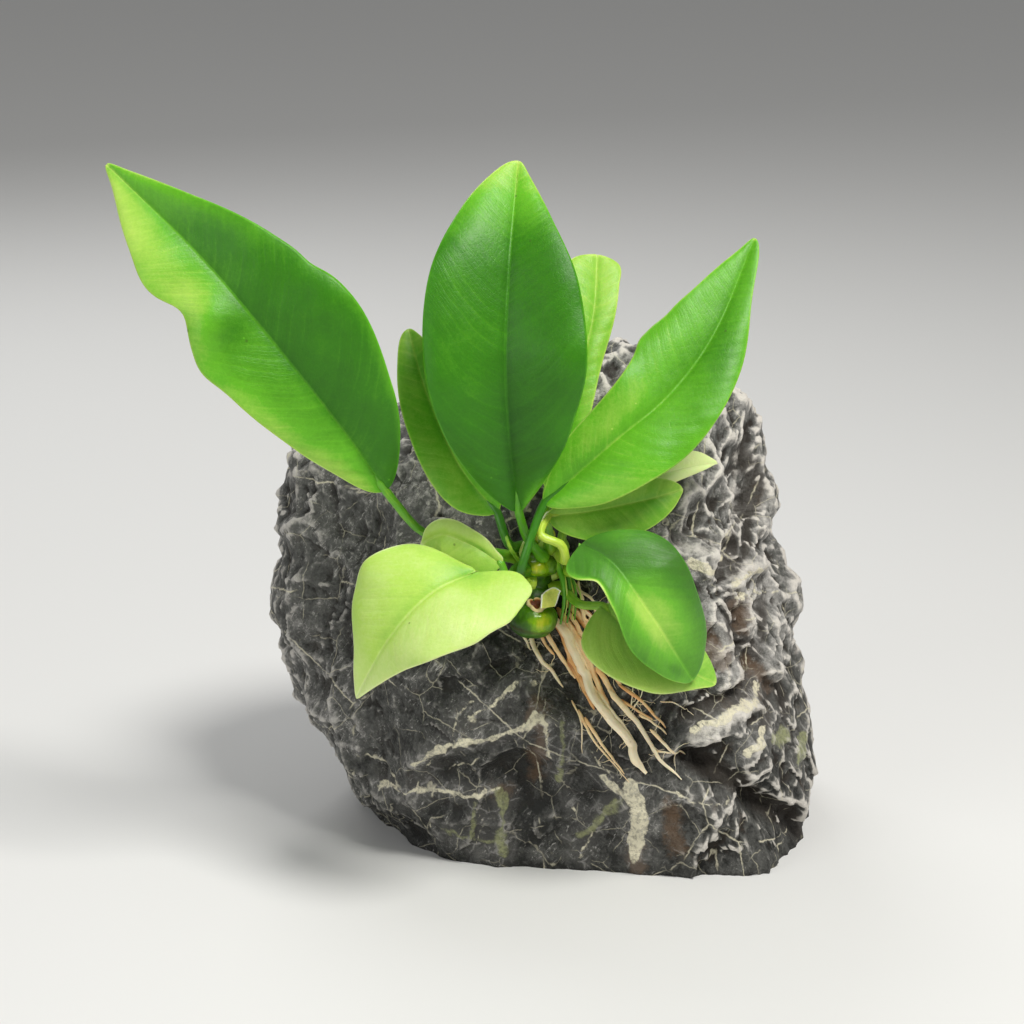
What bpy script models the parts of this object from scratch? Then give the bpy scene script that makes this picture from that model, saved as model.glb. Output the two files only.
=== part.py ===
"""Anubias on stone: a small water plant that has rooted on the front of a hand-sized grey stone.

The tables are in millimetres and the meshes in metres. +Z is up, the plant grows on the stone's
front, which faces -Y, and the origin is the middle of the stone's flat foot.
"""
import math

import bmesh
import bpy
import numpy as np
from mathutils import Vector, noise
from mathutils.bvhtree import BVHTree

MM = 0.001
GAP = 0.35                       # air kept between pieces that touch

# ---- materials: colour, roughness and light passing under the skin --------------------------
MATERIALS = {
    "grey_stone": ((0.17, 0.17, 0.19), 0.6, 0.0),
    "leaf_green": ((0.06, 0.25, 0.02), 0.35, 0.1),
    "leaf_lime": ((0.45, 0.72, 0.16), 0.4, 0.1),
    "stalk_green": ((0.13, 0.38, 0.05), 0.35, 0.1),
    "stem_green": ((0.16, 0.34, 0.06), 0.4, 0.0),
    "sheath_straw": ((0.6, 0.6, 0.3), 0.6, 0.0),
    "root_cream": ((0.72, 0.6, 0.42), 0.6, 0.0),
}

# ---- stone ---------------------------------------------------------------------------------
STONE_MIDDLE = (-4.0, 4.0, 58.0)
STONE_FACETS = 6                 # icosphere subdivisions, before flat places are made coarser
STONE_FACETS_KEPT = 0.2          # share of those facets that stays
STONE_SHARPNESS = 60             # higher keeps the block's edges crisper
BLOCK_FLAT_ANGLE = 4             # degrees; faces of the block that turn less are one face
FOOT_CUT_TOLERANCE = 1e-6        # metres
UNDERSIDE_Z = -4.0               # the block's underside, which isn't carved and is cut off at 0
FOOT = ((-36, -27, -4), (-20, -36, -4), (20, -39, -4), (48, -46, -4), (62, -28, -4), (66, -6, -4),
        (56, 32, -4), (32, 52, -4), (-12, 54, -4), (-44, 40, -4), (-46, 6, -4))
LOW_CORNERS = ((-48, -25, 9), (-56, -2, 14), (-68, 18, 24), (-70, 12, 38), (-30, -42, 26),
               (2, -49, 38), (52, -46, 16), (66, -19, 14), (66, -10, 28), (60, 30, 24), (-20, 54, 24))
MIDDLE_CORNERS = ((-74, 6, 57), (-70, -12, 56), (-62, 34, 56), (-36, -42, 56), (6, -46, 64),
                  (38, -46, 44), (38, -40, 72), (63, -2, 56), (56, 2, 74), (50, 38, 62),
                  (18, 54, 64), (-32, 52, 62))
TOP_CORNERS = ((-71, 8, 78), (-68, -6, 92), (-66, 6, 100), (-58, 26, 92), (-42, -18, 101),
               (-10, -26, 106), (8, -6, 123), (22, -8, 128), (45, -6, 119), (54, -2, 94),
               (36, -24, 104), (22, 22, 116), (44, 22, 102), (0, 46, 94), (-44, 36, 94))
# chips: shallow scoops with sharp rims between them, all over the block
CHIP_COUNT = 130
CHIP_HOLLOW = 0.040              # depth in mm for each square mm of distance from a scoop's middle
CHIP_VARIETY = 80.0              # unevenness of the scoops, in square mm
CHIP_RIM = 5.2                   # height of the highest rims over a scoop's middle
CHIP_BITE = 4.4                  # depth of the scoops' middles below the block's faces
CHIP_SEED = 11
SWELL_SIZE = 34.0                # slow swelling of the faces
SWELL_HEIGHT = 2.6
# pits: smaller scoops, deep where the stone is craggy
PIT_SIZE = 8.0
PIT_DEPTH = (0.25, 1.5)          # on smooth and on fully craggy ground
PIT_REACH = 0.52                 # share of a pit's size from its middle to where its wall is level
PIT_RIM = 0.9                    # height of the highest rims, as a share of the depth
PIT_WANDER = 1.6                 # how far the pits' borders are bent,
PIT_WANDER_SIZE = 9.0            # and over what size
PIT_WANDER_SHIFTS = (0, 31, 67)  # of the noise between the bends in x, y and z
SMOOTH_GROUND = 0.12             # how craggy the smooth places are, from 0 to 1
# share, direction, and how far out along it the craggy ground starts and is full
CRAGGY_GROUND = ((1.0, (1, 0, 0), 24, 38), (0.55, (-1, 0, 0), 46, 58), (0.7, (0, 0, 1), 84, 104),
                 (0.8, (0, 1, 0), -12, 12))
FRONT_START_Y = -200.0           # in front of everything, where rays towards the stone start
MARKS_END_Y = 4.0                # the front's marks have faded out here,
MARKS_FADE = 14.0                # over this depth
MARK_SHARPNESS = 1.5             # 1 gives the marks keen edges, 2 round ones
# grooves and ridges of the front, as (x, z) points, with their half width and their depth;
# a negative depth stands out from the face
FRONT_MARKS = (
    (((32, 31), (38, 28), (44, 24), (50, 16), (57, 10), (62, 3)), 3.6, 6.5),       # lower right cleft
    (((32, 42), (38, 45), (45, 46), (50, 46)), 2.8, 3.2),
    (((32, 37), (38, 40), (43, 42), (48, 42)), 3.0, -3.0),                         # ledge under it
    (((48, 42), (51, 36), (46, 33)), 2.4, -1.6),
    (((46, 98), (50, 91), (47, 85)), 4.6, 5.0),                                    # upper right pit
    (((44, 99), (44, 92), (43, 86), (41, 80)), 2.4, -2.4),
    (((42, 81), (43, 74)), 2.6, 3.4),
    (((47, 82), (46, 76)), 2.2, 2.6),
    (((34, 91), (34, 87)), 2.4, 2.0),
    (((28, 88), (30, 84)), 2.2, 2.2),
    (((41, 91), (40, 88)), 1.8, 1.6),
    (((45, 83), (49, 84), (52, 82)), 2.0, -1.6),
    (((42, 68), (43, 62), (46, 54), (48, 49)), 3.2, 3.8),
    (((51, 62), (51, 54)), 2.2, 2.4),
    (((50, 46), (51, 42), (51, 37)), 2.6, 2.8),
    (((55, 41), (57, 35)), 2.4, 2.4),
    (((43, 71), (47, 73), (53, 71)), 2.8, -3.0),
    (((30, 81), (34, 81), (38, 80), (39, 77)), 3.0, -2.6),
    (((37, 57), (43, 49), (48, 46)), 2.2, -1.8),
    (((48, 49), (54, 46), (60, 39)), 2.2, -2.0),
    (((53, 97), (55, 88), (52, 80)), 3.0, -2.0),
    (((-65, 91), (-63, 73), (-62, 54), (-56, 43), (-52, 30), (-51, 16)), 4.6, -3.0),  # left rim
    (((-57, 90), (-56, 72), (-54, 54), (-49, 42), (-44, 30), (-43, 20)), 4.8, 3.0),
    (((-68, 62), (-71, 55), (-68, 49)), 4.6, -2.4),
    (((-60, 34), (-62, 26), (-58, 20)), 5.0, -2.4),
    (((-36, 27), (-26, 35), (-12, 39), (-4, 43)), 2.8, -1.8),
    (((-45, 17), (-32, 20), (-15, 22)), 3.0, -1.8),
    (((-15, 22), (-14, 16), (-14, 3)), 2.6, -1.2),
    (((18, 25), (19, 16), (19, 4)), 3.4, -1.6),
)
# hollows and bulges that run round the sides: middle (x, z), reach and depth
SIDE_MARKS = (((57, 97), 9.0, -5.4), ((58, 74), 7.0, 3.4), ((63, 47), 6.5, 2.6), ((66, 31), 7.0, 2.4),
              ((65, 10), 8.0, -2.8), ((-57, 19), 9.0, 4.6), ((-74, 72), 8.0, 2.4))

# ---- leaves --------------------------------------------------------------------------------
BLADE_THICKNESS = 0.8
BLADE_MIN_HALF = 0.45            # half width of a blade at its base and tip
MIDRIB_STEP = 0.01               # share of the midrib over which its direction is taken
EAR_ROWS = 0.35                  # share of the rows, from the base, that the ears pull back
EAR_SQUARENESS = 4               # higher gives the ears flatter ends
EAR_SKEW = 1.6                   # higher moves the ears' ends out towards the margin
EAR_FADE = 2                     # higher keeps the ears closer to the base
# midrib: points from base to tip; faces: direction the upper side looks; left and right: half
# widths at seven stations, closer together near the ends; fold: rise of each half in degrees;
# ear: half width at the base and the reach of the ears behind it; cells: rows and columns
LEAVES = {
    "leaf_upper_left": dict(
        midrib=((-41, -60, 103), (-49, -65, 117), (-64, -68, 138), (-82, -64, 159), (-104, -52, 178)),
        faces=(-0.25, -1, 0.45), fold=(12, 12), cells=(12, 6),
        left=(3.5, 7, 11.5, 15.5, 14, 10, 3), right=(4, 9, 16, 21.5, 16, 8, 2.5)),
    "leaf_centre": dict(
        midrib=((-10, -60, 98), (-12, -67, 116), (-13, -69, 136), (-12, -62, 158), (-10, -48, 178)),
        faces=(0, -1, 0.2), fold=(14, 14), cells=(12, 6),
        left=(3.5, 9, 15, 19, 18.5, 12.5, 5.5), right=(3, 8.5, 15, 19, 16.5, 9, 3)),
    "leaf_right": dict(
        midrib=((-4, -57, 99), (12, -58, 114), (25, -53, 124), (36, -45, 137), (46, -32, 157)),
        faces=(-0.15, -1, 0.35), fold=(10, 10), cells=(12, 6),
        left=(3, 7.5, 9.5, 12, 13.5, 8, 2.5), right=(4.5, 10.5, 13.5, 13, 10, 5, 2.5)),
    "leaf_behind_left": dict(
        midrib=((-15, -54, 96), (-23, -51, 105), (-29, -47, 116), (-33, -42, 126), (-36, -36, 136)),
        faces=(-0.1, -1, 0.3), fold=(14, 14), cells=(10, 4),
        left=(3.5, 7, 8, 7.5, 6.5, 4.5, 2.5), right=(3, 6.5, 8.5, 9, 7.5, 5, 2)),
    "leaf_behind_right": dict(
        midrib=((-3, -49, 100), (2, -44, 113), (5, -38, 127), (8, -31, 139), (9, -22, 151)),
        faces=(0.1, -1, 0.2), fold=(8, 8), cells=(10, 4),
        left=(2.5, 5.5, 7.5, 8.5, 8.5, 8, 6.5), right=(2, 3.5, 4, 4.5, 5, 5.5, 5.5)),
    "leaf_low_right": dict(
        midrib=((-3, -54, 95), (6, -54, 96), (14, -52, 97), (22, -49, 98), (29, -45, 99)),
        faces=(0.05, -1, 0.35), fold=(8, 8), cells=(10, 4),
        left=(2, 4, 5.5, 6, 5.5, 4, 2), right=(3, 5.5, 7.5, 8, 6.5, 4, 1.5)),
    "leaf_pale_tip": dict(
        midrib=((2, -43, 91), (11, -43, 96), (20, -41, 100), (30, -37, 102), (38, -32, 102)),
        faces=(0.05, -1, 0.4), fold=(8, 8), cells=(10, 4),
        left=(1.5, 3, 5, 5.5, 4.5, 3.5, 1.5), right=(1.5, 3.5, 4, 3.5, 2.5, 1.5, 0.5)),
    "leaf_front_lime": dict(
        midrib=((-20, -66, 85), (-29, -71, 82), (-36, -73, 76), (-42, -71, 67), (-48, -66, 54)),
        faces=(-0.35, -0.85, 0.75), fold=(8, 8), cells=(12, 8), ear=((15, 8), (0.5, 0)),
        left=(17.5, 18, 18, 14.5, 9, 4.5, 1.5), right=(4, 12, 16, 17.5, 14.5, 6.5, 2)),
    "leaf_back_lime": dict(
        midrib=((-14, -57, 84), (-18, -57, 87), (-22, -56, 89), (-28, -56, 91), (-33, -54, 88)),
        faces=(-0.15, -1, 0.35), fold=(6, 6), cells=(10, 4),
        left=(3, 4.5, 5, 5, 4.5, 4, 1.5), right=(1.5, 2, 3, 3.5, 4, 3, 1)),
    "leaf_front_right": dict(
        midrib=((5, -60, 90), (12, -66, 87), (17, -69, 81), (24, -68, 70), (31, -62, 57)),
        faces=(0.25, -0.9, 0.5), fold=(6, 6), cells=(12, 6),
        left=(3.5, 8, 13.5, 14, 13, 11, 5.5), right=(7.5, 9, 7, 7.5, 9, 6.5, 3)),
    "leaf_under_right": dict(
        midrib=((10, -54, 73), (16, -58, 68), (24, -59, 62), (30, -58, 58), (37, -56, 54)),
        faces=(0.1, -0.8, 0.8), fold=(6, 6), cells=(10, 4),
        left=(2, 4.5, 6.5, 8, 8.5, 7, 3.5), right=(6, 11.5, 13, 11, 7, 3.5, 1.5)),
}
LIME_LEAVES = ("leaf_behind_right", "leaf_pale_tip", "leaf_front_lime", "leaf_back_lime")

# ---- creeping stem, leaf stalks and old sheath -------------------------------------------------
STEM_PATH = ((-6, 63.5, 3), (-6.3, 65.5, 5), (-6.5, 68.5, 6), (-6, 71.5, 5.5), (-5, 75, 4),
             (-4.6, 78.5, 4.5), (-4.5, 82, 4.4), (-4.2, 84.5, 3.4), (-4, 86.5, 1.8))  # x, z, radius
STEM_PROBE_REACH = 0.7           # share of the stem's radius that is kept clear of the stone each side
STEM_PROBE_HEIGHTS = (-2, 0, 2)
STEM_SMOOTHING = (0.25, 0.5, 0.25)
STEM_BEVEL = 3                   # steps in a quarter of the stem's round
TUBE_BEVEL = 2                   # steps in a quarter of a stalk's or a root's round
STALK_RADIUS = 1.1
STALK_POINTS = 8
STALK_RISE = 0.25                # upward share of the direction from the stem to a stalk's foot
FOOT_GAP = 1.2                   # from the stem's skin to a stalk's end
NECK_GAP = 1.2                   # from a stalk's end to its blade's base
# foot: bearing on the stem, in degrees from its front towards its right, and height;
# way: points between the foot and the blade; under: how far behind the blade the stalk joins it
STALKS = {
    "stalk_upper_left": dict(leaf="leaf_upper_left", foot=(-104, 79.5), under=0.0,
                             way=((-22, -49.5, 86.0), (-33, -51.0, 90.5))),
    "stalk_centre": dict(leaf="leaf_centre", foot=(0, 82), under=0.0, way=((-8, -54.5, 90),)),
    "stalk_right": dict(leaf="leaf_right", foot=(-38, 78.5), under=0.0,
                        way=((-9.4, -59.4, 83), (-7.6, -60.4, 90))),
    "stalk_behind_left": dict(leaf="leaf_behind_left", foot=(-66, 83), under=0.0,
                              way=((-12.4, -54.5, 88.5),)),
    "stalk_behind_right": dict(leaf="leaf_behind_right", foot=(24, 83.5), under=0.0,
                               way=((-3.4, -50.0, 94.0),)),
    "stalk_low_right": dict(leaf="leaf_low_right", foot=(55, 81.5), under=0.0,
                            way=((1, -56.6, 85), (0, -58.8, 89.4), (-4.8, -58.6, 91.8))),
    "stalk_pale_tip": dict(leaf="leaf_pale_tip", foot=(105, 82.0), under=0.4, way=((0.4, -45.6, 87.4),)),
    "stalk_front_lime": dict(leaf="leaf_front_lime", foot=(-48, 75.5), under=2.6,
                             way=((-13.4, -59.4, 77.5),)),
    "stalk_back_lime": dict(leaf="leaf_back_lime", foot=(-70, 78.0), under=0.0,
                            way=((-12.6, -55.0, 80.4),)),
    "stalk_front_right": dict(leaf="leaf_front_right", foot=(74, 77.5), under=2.4,
                              way=((4.6, -55.0, 81.5),)),
    "stalk_under_right": dict(leaf="leaf_under_right", foot=(92, 73), under=0.0,
                              way=((4.6, -51.4, 72.4),)),
}
SHEATH_HEIGHT = 4.2
SHEATH_FOOT_Z = 72
SHEATH_BEARING = 30              # degrees from the stem's front towards its right
SHEATH_HALF_WRAP = 18
SHEATH_THICKNESS = 0.5
SHEATH_STAND_OFF = 2.1           # from the stem's skin, at its torn end
SHEATH_FOOT_OUT = 0.6            # how much further out the sheath's foot is
SHEATH_CELLS = (3, 4)            # rows and columns

# ---- roots: (x, z) points down the stone, radii at the start and the end, lift off the stone ----
ROOTS = {
    "root_main": (((1, 64), (3, 60), (5, 56), (7, 52), (8, 48), (12, 43), (16, 38), (18, 33), (21, 28)),
                  1.25, 0.9, 0.0),
    "root_right": (((12, 50), (15, 46), (19, 41), (22, 36), (25, 31), (30, 26)), 0.95, 0.4, 0.6),
    "root_ochre": (((14, 51), (19, 47.5), (23, 43), (26, 39)), 0.6, 0.4, 0.4),
    "root_left": (((-7, 61), (-5, 57), (-2, 53), (1, 49)), 0.85, 0.4, 0.4),
    "root_tan": (((-3, 62), (-1, 58.5), (1.5, 55), (4, 51)), 0.7, 0.4, 0.3),
    "root_lower_left": (((6, 43), (9, 38), (13, 32), (16, 28)), 0.55, 0.35, 0.0),
    "root_branch": (((22, 40), (25, 36), (28, 33), (31, 31)), 0.55, 0.35, 0.5),
    "root_side": (((5, 66), (8.5, 61), (11, 56), (12.2, 52.5)), 0.9, 0.7, 0.3),
}
ROOT_STEP = 2.2                  # distance between the points of a root's path
ROOT_MIN_POINTS = 4


def smooth_through(values, t):
    """Value at t, from 0 to 1, of the smooth curve through evenly spaced values."""
    values = np.asarray(values, float)
    slopes = np.gradient(values, axis=0)
    last = len(values) - 1
    start = min(int(t * last), last - 1)
    f = t * last - start
    a, b = values[start], values[start + 1]
    slope_a, slope_b = slopes[start], slopes[start + 1]
    return ((2 * f ** 3 - 3 * f ** 2 + 1) * a + (f ** 3 - 2 * f ** 2 + f) * slope_a
            + (3 * f ** 2 - 2 * f ** 3) * b + (f ** 3 - f ** 2) * slope_b)


def unit(vector):
    vector = np.asarray(vector, float)
    return vector / np.linalg.norm(vector)


def noise_at(points, size):
    """Smooth noise from about -1 to 1 with features of the given size."""
    return np.array([noise.noise(Vector(point / size)) for point in points])


def clear_scene():
    for item in list(bpy.data.objects):
        bpy.data.objects.remove(item, do_unlink=True)


def make_material(name):
    colour, roughness, subsurface = MATERIALS[name]
    material = bpy.data.materials.new(name)
    material.use_nodes = True
    shader = material.node_tree.nodes["Principled BSDF"]
    shader.inputs["Base Color"].default_value = (*colour, 1.0)
    shader.inputs["Roughness"].default_value = roughness
    shader.inputs["Metallic"].default_value = 0.0
    shader.inputs["Subsurface Weight"].default_value = subsurface
    return material


def add_object(name, data, collection, material):
    item = bpy.data.objects.new(name, data)
    data.materials.append(material)
    collection.objects.link(item)
    return item


# ---- stone ---------------------------------------------------------------------------------
def block_planes():
    """Unit normals and distances of the faces of the block that the corners span."""
    cage = bmesh.new()
    for corner in FOOT + LOW_CORNERS + MIDDLE_CORNERS + TOP_CORNERS:
        cage.verts.new(np.subtract(corner, STONE_MIDDLE))
    bmesh.ops.convex_hull(cage, input=cage.verts)
    bmesh.ops.dissolve_limit(cage, angle_limit=math.radians(BLOCK_FLAT_ANGLE), verts=cage.verts,
                             edges=cage.edges)
    cage.normal_update()
    normals = np.array([face.normal for face in cage.faces])
    distances = np.array([face.normal.dot(face.verts[0].co) for face in cage.faces])
    cage.free()
    return normals, distances


def block_reach(directions):
    """Distance from the stone's middle to the block's softened faces along unit directions."""
    normals, distances = block_planes()
    nearness = np.clip(directions @ normals.T / distances, 0, None)
    return (nearness ** STONE_SHARPNESS).sum(axis=1) ** (-1 / STONE_SHARPNESS)


def chip_depths(points):
    """Depth of the scoops: each point belongs to the scoop whose middle is nearest."""
    scatter = np.random.default_rng(CHIP_SEED)
    middles = scatter.normal(size=(CHIP_COUNT, 3))
    middles /= np.linalg.norm(middles, axis=1)[:, None]
    middles = np.array(STONE_MIDDLE) + middles * block_reach(middles)[:, None]
    sizes = scatter.uniform(0, CHIP_VARIETY, CHIP_COUNT)
    spans = ((points[:, None, :] - middles[None, :, :]) ** 2).sum(axis=2) + sizes
    return CHIP_BITE - np.minimum(CHIP_HOLLOW * spans.min(axis=1), CHIP_RIM)


def path_distance(x, z, path):
    """Distance of each (x, z) from a broken line."""
    best = np.full(len(x), np.inf)
    for (x0, z0), (x1, z1) in zip(path[:-1], path[1:]):
        run_x, run_z = x1 - x0, z1 - z0
        along = np.clip(((x - x0) * run_x + (z - z0) * run_z) / (run_x ** 2 + run_z ** 2), 0, 1)
        best = np.minimum(best, np.hypot(x - x0 - along * run_x, z - z0 - along * run_z))
    return best


def cragginess(points):
    """How broken the stone is: smooth low on the front, craggy to the right, above and behind."""
    shares = [share * np.clip((points @ np.array(direction) - start) / (full - start), 0, 1)
              for share, direction, start, full in CRAGGY_GROUND]
    return np.clip(SMOOTH_GROUND + np.max(shares, axis=0), 0, 1)


def pit_depths(points):
    """Depth of the pits: each point belongs to the pit whose middle is nearest."""
    bends = np.stack([noise_at(points + shift, PIT_WANDER_SIZE) for shift in PIT_WANDER_SHIFTS], axis=1)
    places = (points + PIT_WANDER * bends) / PIT_SIZE
    nearest = np.array([noise.voronoi(Vector(place))[0][0] for place in places])
    smooth, craggy = PIT_DEPTH
    depth = smooth + (craggy - smooth) * cragginess(points)
    return depth * np.maximum(1 - (nearest / PIT_REACH) ** 2, -PIT_RIM)


def front_mark_depths(points):
    """Depth of the named grooves and ridges of the front."""
    depth = np.zeros(len(points))
    frontness = np.clip((MARKS_END_Y - points[:, 1]) / MARKS_FADE, 0, 1)
    for path, half_width, mark_depth in FRONT_MARKS:
        distance = path_distance(points[:, 0], points[:, 2], path)
        depth += mark_depth * frontness * np.exp(-(distance / half_width) ** MARK_SHARPNESS)
    return depth


def side_mark_depths(points):
    """Depth of the hollows and bulges of the sides."""
    spans = [np.hypot(points[:, 0] - x, points[:, 2] - z) / reach for (x, z), reach, _ in SIDE_MARKS]
    return sum(depth * np.exp(-span ** 2) for span, (_, _, depth) in zip(spans, SIDE_MARKS))


def stone_points(directions):
    """Points of the stone's skin, in millimetres, along unit directions from its middle."""
    points = np.array(STONE_MIDDLE) + directions * block_reach(directions)[:, None]
    depth = chip_depths(points) + pit_depths(points) + front_mark_depths(points)
    depth += side_mark_depths(points) - SWELL_HEIGHT * noise_at(points, SWELL_SIZE)
    depth *= np.clip(1 - points[:, 2] / UNDERSIDE_Z, 0, 1)
    return points - directions * depth[:, None]


def stone_shell():
    """The whole rough stone, with fewer facets where it is flat."""
    mesh = bmesh.new()
    bmesh.ops.create_icosphere(mesh, subdivisions=STONE_FACETS, radius=1.0)
    directions = np.array([unit(vertex.co) for vertex in mesh.verts])
    for vertex, point in zip(mesh.verts, stone_points(directions)):
        vertex.co = Vector(point) * MM
    data = bpy.data.meshes.new("stone_shell")
    mesh.to_mesh(data)
    mesh.free()
    shell = bpy.data.objects.new("stone_shell", data)
    bpy.context.scene.collection.objects.link(shell)
    coarser = shell.modifiers.new("coarser", "DECIMATE")
    coarser.ratio = STONE_FACETS_KEPT
    graph = bpy.context.evaluated_depsgraph_get()
    result = bpy.data.meshes.new_from_object(shell.evaluated_get(graph), depsgraph=graph)
    bpy.data.objects.remove(shell, do_unlink=True)
    bpy.data.meshes.remove(data)
    return result


def build_stone(collection):
    data = stone_shell()
    data.name = "stone"
    mesh = bmesh.new()
    mesh.from_mesh(data)
    everything = mesh.verts[:] + mesh.edges[:] + mesh.faces[:]
    bmesh.ops.bisect_plane(mesh, geom=everything, dist=FOOT_CUT_TOLERANCE, plane_co=(0, 0, 0),
                           plane_no=(0, 0, 1), clear_inner=True)
    bmesh.ops.holes_fill(mesh, edges=[edge for edge in mesh.edges if edge.is_boundary])
    bmesh.ops.recalc_face_normals(mesh, faces=mesh.faces)
    mesh.to_mesh(data)
    skin = BVHTree.FromBMesh(mesh)
    mesh.free()
    add_object("stone", data, collection, make_material("grey_stone"))
    return skin


def on_front(skin, x, z):
    """Point of the stone's front at (x, z), in millimetres, and its outward normal."""
    point, normal, _, _ = skin.ray_cast(Vector((x, FRONT_START_Y, z)) * MM, Vector((0, 1, 0)))
    return np.array(point) / MM, np.array(normal)


# ---- blades --------------------------------------------------------------------------------
def blade_frame(leaf, t):
    """Point on the midrib at t, with the directions along, across and up from the blade."""
    point = smooth_through(leaf["midrib"], t)
    ahead, behind = min(t + MIDRIB_STEP, 1), max(t - MIDRIB_STEP, 0)
    along = unit(smooth_through(leaf["midrib"], ahead) - smooth_through(leaf["midrib"], behind))
    across = unit(np.cross(along, leaf["faces"]))
    return point, along, across, np.cross(across, along)


def blade_point(leaf, row, column):
    """Point of the blade: row from base 0 to tip 1, column from left edge -1 to right edge 1."""
    t = (1 - math.cos(math.pi * row)) / 2
    point, along, across, up = blade_frame(leaf, t)
    side = 0 if column < 0 else 1
    ear_width, ear_reach = leaf.get("ear", ((0, 0), (0, 0)))[side]
    halves = (ear_width, *leaf[("left", "right")[side]], 0.0)
    half = max(float(smooth_through(halves, row)), BLADE_MIN_HALF)
    fold = math.radians(leaf["fold"][side])
    out = abs(column)
    ear = 1 - (2 * out ** EAR_SKEW - 1) ** EAR_SQUARENESS
    back = ear_reach * ear * max(0.0, 1 - row / EAR_ROWS) ** EAR_FADE
    return (point + across * column * half * math.cos(fold) + up * out * half * math.sin(fold)
            - along * back)


def build_sheet(name, rows, columns, place, thickness, collection, material):
    """A thin sheet: a grid whose points are placed by row and column, then thickened."""
    mesh = bmesh.new()
    bmesh.ops.create_grid(mesh, x_segments=columns, y_segments=rows, size=1.0)
    for vertex in mesh.verts:
        vertex.co = Vector(place((vertex.co.y + 1) / 2, vertex.co.x)) * MM
    data = bpy.data.meshes.new(name)
    mesh.to_mesh(data)
    mesh.free()
    sheet = add_object(name, data, collection, material)
    wall = sheet.modifiers.new("thickness", "SOLIDIFY")
    wall.thickness = thickness * MM
    wall.offset = 0.0
    data.shade_smooth()
    return sheet


def build_blades(collection):
    green = make_material("leaf_green")
    lime = make_material("leaf_lime")
    for name, leaf in LEAVES.items():
        rows, columns = leaf["cells"]
        material = lime if name in LIME_LEAVES else green
        build_sheet(name, rows, columns, lambda row, column: blade_point(leaf, row, column),
                    BLADE_THICKNESS, collection, material)


# ---- tubes: stem, stalks and roots -------------------------------------------------------------
def build_tube(name, points, radii, collection, material, bevel=TUBE_BEVEL):
    """A closed tube through points in millimetres, with a radius at each."""
    data = bpy.data.curves.new(name, "CURVE")
    data.dimensions = "3D"
    data.bevel_depth = MM
    data.bevel_resolution = bevel
    data.use_fill_caps = True
    spline = data.splines.new("POLY")
    spline.points.add(len(points) - 1)
    for knot, point, radius in zip(spline.points, points, radii):
        knot.co = (*(np.asarray(point) * MM), 1.0)
        knot.radius = radius
    return add_object(name, data, collection, material)


def stem_axis(skin):
    """The stem's points, close to the stone, with their radii."""
    points = []
    for x, z, radius in STEM_PATH:
        reach = radius * STEM_PROBE_REACH
        surface_y = min(on_front(skin, x + dx, z + dz)[0][1] for dx in (-reach, 0, reach)
                        for dz in STEM_PROBE_HEIGHTS)
        points.append((x, surface_y - radius - GAP, z))
    depths = np.array([point[1] for point in points])
    even = np.convolve(np.pad(depths, 1, mode="edge"), STEM_SMOOTHING, mode="valid")
    points = [(x, min(y, y_even), z) for (x, y, z), y_even in zip(points, even)]
    return np.array(points), np.array([radius for _, _, radius in STEM_PATH])


def stem_at(axis, radii, height):
    """Centre and radius of the stem at a height."""
    heights = axis[:, 2]
    centre = [np.interp(height, heights, axis[:, k]) for k in range(3)]
    return np.array(centre), float(np.interp(height, heights, radii))


def build_stalks(axis, radii, collection):
    material = make_material("stalk_green")
    for name, stalk in STALKS.items():
        bearing, height = math.radians(stalk["foot"][0]), stalk["foot"][1]
        centre, radius = stem_at(axis, radii, height)
        outward = unit((math.sin(bearing), -math.cos(bearing), STALK_RISE))
        foot = centre + outward * (radius + FOOT_GAP)
        leaf = LEAVES[stalk["leaf"]]
        point, along, _, up = blade_frame(leaf, 0.0)
        neck = point - along * NECK_GAP - up * stalk["under"]
        knots = (foot, *stalk["way"], neck)
        steps = np.linspace(0, 1, STALK_POINTS)
        path = [smooth_through(knots, step) for step in steps]
        build_tube(name, path, [STALK_RADIUS] * STALK_POINTS, collection, material)


def build_sheath(axis, radii, collection):
    """The torn end of an old sheath: a cupped flake in front of the stem."""
    def place(row, column):
        z = SHEATH_FOOT_Z + row * SHEATH_HEIGHT
        centre, radius = stem_at(axis, radii, z)
        bearing = math.radians(SHEATH_BEARING + column * SHEATH_HALF_WRAP)
        reach = radius + SHEATH_STAND_OFF + SHEATH_FOOT_OUT * (1 - row)
        return centre + reach * np.array((math.sin(bearing), -math.cos(bearing), 0))

    rows, columns = SHEATH_CELLS
    build_sheet("old_sheath", rows, columns, place, SHEATH_THICKNESS, collection,
                make_material("sheath_straw"))


def build_roots(skin, collection):
    material = make_material("root_cream")
    for name, (path, start_radius, end_radius, lift) in ROOTS.items():
        length = sum(math.dist(a, b) for a, b in zip(path[:-1], path[1:]))
        count = max(ROOT_MIN_POINTS, round(length / ROOT_STEP) + 1)
        points, radii = [], []
        for step in np.linspace(0, 1, count):
            x, z = smooth_through(path, step)
            radius = start_radius + (end_radius - start_radius) * step
            surface, normal = on_front(skin, x, z)
            points.append(surface + normal * (radius + GAP + lift))
            radii.append(radius)
        build_tube(name, points, radii, collection, material)


def main():
    clear_scene()
    collection = bpy.data.collections.new("anubias_on_stone")
    bpy.context.scene.collection.children.link(collection)
    skin = build_stone(collection)
    axis, radii = stem_axis(skin)
    build_tube("creeping_stem", axis, radii, collection, make_material("stem_green"), bevel=STEM_BEVEL)
    build_blades(collection)
    build_stalks(axis, radii, collection)
    build_sheath(axis, radii, collection)
    build_roots(skin, collection)


main()
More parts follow.
